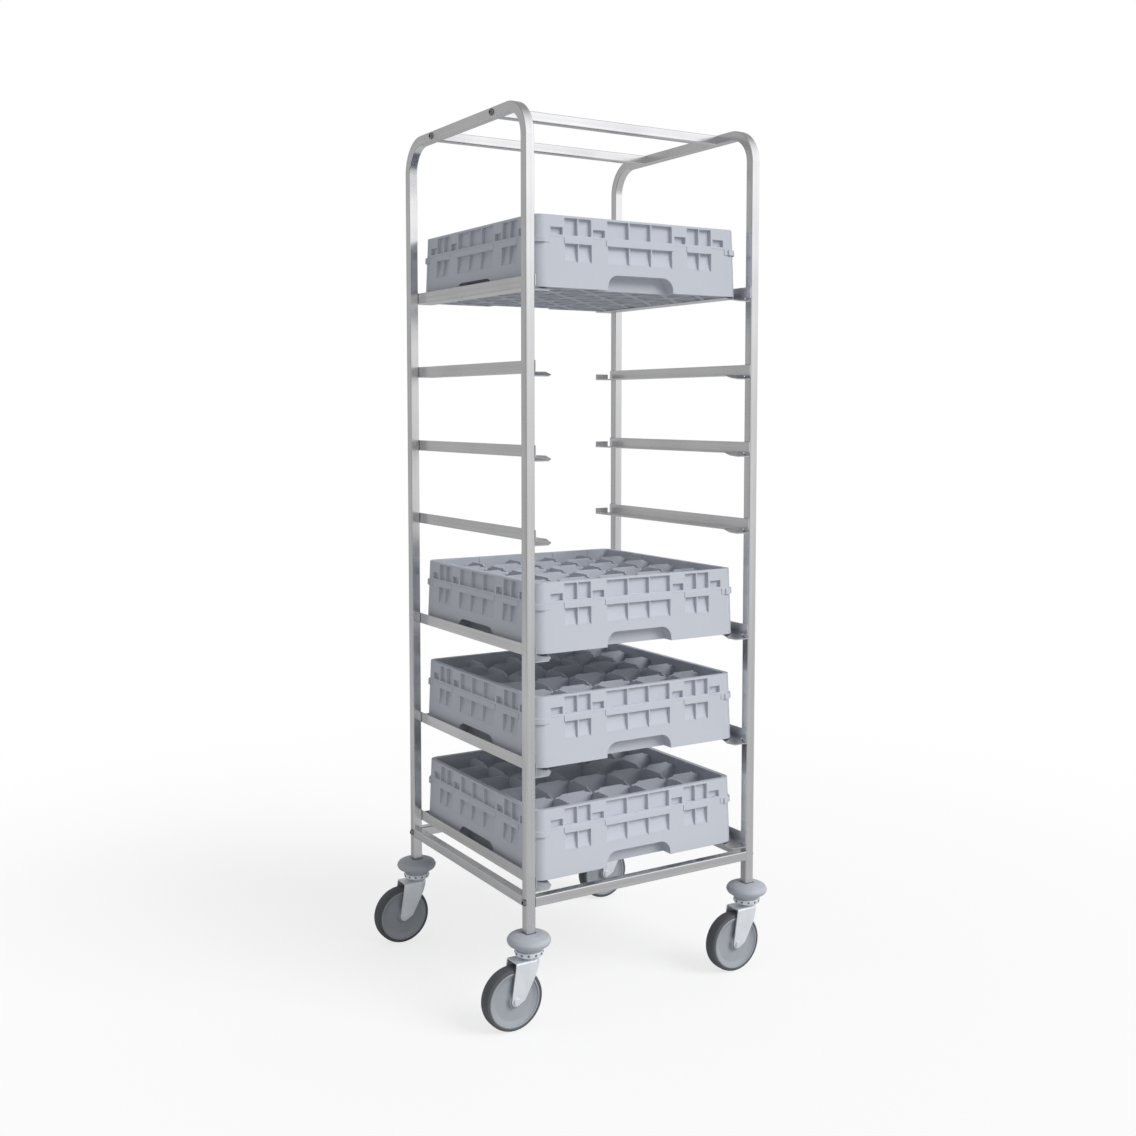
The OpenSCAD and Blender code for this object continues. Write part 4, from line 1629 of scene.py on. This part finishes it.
@dataclass
class Studio:
    """Pale floor, soft light and the camera.

    Attributes:
        ambient: Light of the surroundings on dull surfaces.
        sun: Strength of the soft main light.
        sun_angle: Width of the main light in degrees.
        sun_from: Direction that the main light comes from.
        bright_from: Middle of the bright side that gloss sees.
        dark_from: Middle of the dark side that gloss sees.
        glow: Light all round that gloss sees.
        haze: What the surroundings gain below the horizon and up to it.
        bright: Light of the bright side deep down, and its gains up to the horizon and above.
        dark: What the dark side takes away.
        zenith: What the surroundings lose overhead.
        floor_colour: Colour of the floor for the light that it throws back.
        floor_sight: Colour of the floor as the camera sees it.
        floor_white: Share of plain white in the floor near the object, which keeps the shadow.
        floor_gloss: Share of plain white that gloss sees in the floor.
        floor_fade: Distances from the middle between which the floor fades to plain white.
        floor_side: Side of the floor.
        focal: Focal length in pixels of the image.
        middle_row: Row of the image that the camera's axis meets.
        place: Place of the camera.
        yaw: Turn of the camera to the right of +Y, in degrees.
        pitch: Tilt of the camera below level, in degrees.
    """

    ambient: float = 0.46
    sun: float = 2.1
    sun_angle: float = 38.0
    sun_from: tuple[float, float, float] = (0.42, -0.72, 0.62)
    bright_from: tuple[float, float, float] = (0.52, -0.85, 0.1)
    dark_from: tuple[float, float, float] = (-0.52, -0.85, 0.0)
    glow: float = 0.40
    haze: float = 0.09
    bright: tuple[float, float, float] = (0.20, 0.10, 0.54)
    dark: float = 0.26
    zenith: float = 0.12
    floor_colour: Colour = (0.66, 0.66, 0.66)
    floor_sight: Colour = (0.98, 0.98, 0.98)
    floor_white: float = 0.74
    floor_gloss: float = 0.05
    floor_fade: tuple[float, float] = (0.6, 2.6)
    floor_side: float = 8.0
    focal: float = 1346.43
    middle_row: float = 500.0
    place: tuple[float, float, float] = (-1.55156, -2.49335, 1.207)
    yaw: float = 31.49
    pitch: float = 3.84
    # Cosines of the angle to the middle of each part, between which it fades in
    BRIGHT_EDGE = (0.1, 0.9)
    DARK_EDGE = (0.72, 0.97)
    BELOW_HORIZON = (-0.30, -0.02)
    ABOVE_HORIZON = (-0.02, 0.20)
    OVERHEAD = (0.3, 0.8)
    SENSOR = 36.0
    WHITE = (1.0, 1.0, 1.0)

    def build(self) -> None:
        """Builds the floor, the light and the camera."""
        self._floor()
        self._world()
        self._sun()
        self._camera()
        LOG.info("studio: floor, soft light and camera")

    def _floor(self) -> None:
        """Plain floor that keeps the shadow."""
        shape = Shape()
        bmesh.ops.create_grid(shape.bm, x_segments=1, y_segments=1, size=self.floor_side / 2)
        floor = placed("floor", shape.mesh("floor"))
        material = bpy.data.materials.new("studio_floor")
        material.use_nodes = True
        graph = Graph(material.node_tree)
        place = graph.add("ShaderNodeTexCoord", output="Object")
        away = graph.add("ShaderNodeVectorMath", {"operation": "LENGTH"}, {0: place}, "Value")
        white = self.floor_white + (1.0 - self.floor_white) * away.ramp(*self.floor_fade)
        camera = self._ray(graph, "Camera")
        share = camera * white + self._ray(graph, "Glossy") * self.floor_gloss
        colour = graph.blend(camera, rgba(self.floor_colour), rgba(self.floor_sight))
        dull = graph.add("ShaderNodeBsdfDiffuse", None, {"Color": colour})
        sockets = {"Color": rgba(self.WHITE), "Strength": 1.0}
        plain = graph.add("ShaderNodeEmission", None, sockets)
        surface = graph.add("ShaderNodeMixShader", None, {0: share, 1: dull, 2: plain})
        graph.add("ShaderNodeOutputMaterial", None, {"Surface": surface})
        floor.data.materials.append(material)

    def _world(self) -> None:
        """White surroundings for the camera, and a lit studio for reflections."""
        world = bpy.data.worlds.new("studio")
        world.use_nodes = True
        bpy.context.scene.world = world
        graph = Graph(world.node_tree)
        direction = graph.add("ShaderNodeTexCoord", output="Generated")
        bright_side = self._facing(graph, direction, self.bright_from).ramp(*self.BRIGHT_EDGE)
        dark_side = self._facing(graph, direction, self.dark_from).ramp(*self.DARK_EDGE)
        height = self._facing(graph, direction, UP)
        low_lift = height.ramp(*self.BELOW_HORIZON)
        high_lift = height.ramp(*self.ABOVE_HORIZON)
        deep, level, above = self.bright
        studio = self.glow + self.haze * low_lift
        studio = studio + bright_side * (deep + level * low_lift + above * high_lift)
        studio = studio - self.dark * dark_side - self.zenith * height.ramp(*self.OVERHEAD)
        camera, gloss = self._ray(graph, "Camera"), self._ray(graph, "Glossy")
        through = self._ray(graph, "Transmission")
        dull = self.ambient * (1.0 - camera) * (1.0 - gloss) * (1.0 - through)
        strength = camera + through + studio * gloss + dull
        sockets = {"Color": rgba(self.WHITE), "Strength": strength}
        background = graph.add("ShaderNodeBackground", None, sockets)
        graph.add("ShaderNodeOutputWorld", None, {"Surface": background})

    @staticmethod
    def _ray(graph: Graph, kind: str) -> Wire:
        """One for rays of a kind and zero for the others."""
        return graph.add("ShaderNodeLightPath", output=f"Is {kind} Ray")

    @staticmethod
    def _facing(graph: Graph, direction: Wire, towards: Sequence[float]) -> Wire:
        """How far a direction points towards another."""
        sockets = {0: direction, 1: tuple(Vector(towards).normalized())}
        return graph.add("ShaderNodeVectorMath", {"operation": "DOT_PRODUCT"}, sockets, "Value")

    def _sun(self) -> None:
        """Soft main light from the front right."""
        light = bpy.data.lights.new("main_light", "SUN")
        light.energy = self.sun
        light.angle = math.radians(self.sun_angle)
        lamp = placed("main_light", light)
        lamp.rotation_euler = Vector(self.sun_from).to_track_quat("Z", "Y").to_euler()
        lamp.visible_glossy = False

    def _camera(self) -> None:
        """Camera at the photograph's viewing angle."""
        lens = bpy.data.cameras.new("camera")
        lens.sensor_width = self.SENSOR
        lens.lens = self.focal * self.SENSOR / IMAGE_SIDE
        lens.shift_y = self.middle_row / IMAGE_SIDE - 0.5
        camera = placed("camera", lens)
        camera.location = self.place
        camera.rotation_euler = (math.radians(90 - self.pitch), 0, math.radians(-self.yaw))
        bpy.context.scene.camera = camera
        bpy.context.scene.view_settings.view_transform = "Standard"


def main() -> None:
    """Builds every sub-assembly and the studio."""
    logging.basicConfig(level=logging.INFO, format="%(message)s")
    shop = Workshop()
    TubeFrame(shop).build()
    FrameBolts(shop).build()
    AngleRails(shop).build()
    for corner in ("front_left", "front_right", "rear_left", "rear_right"):
        Castor(shop, corner).build()
    GlassRacks(shop).build()
    Studio().build()


if __name__ == "__main__":
    main()
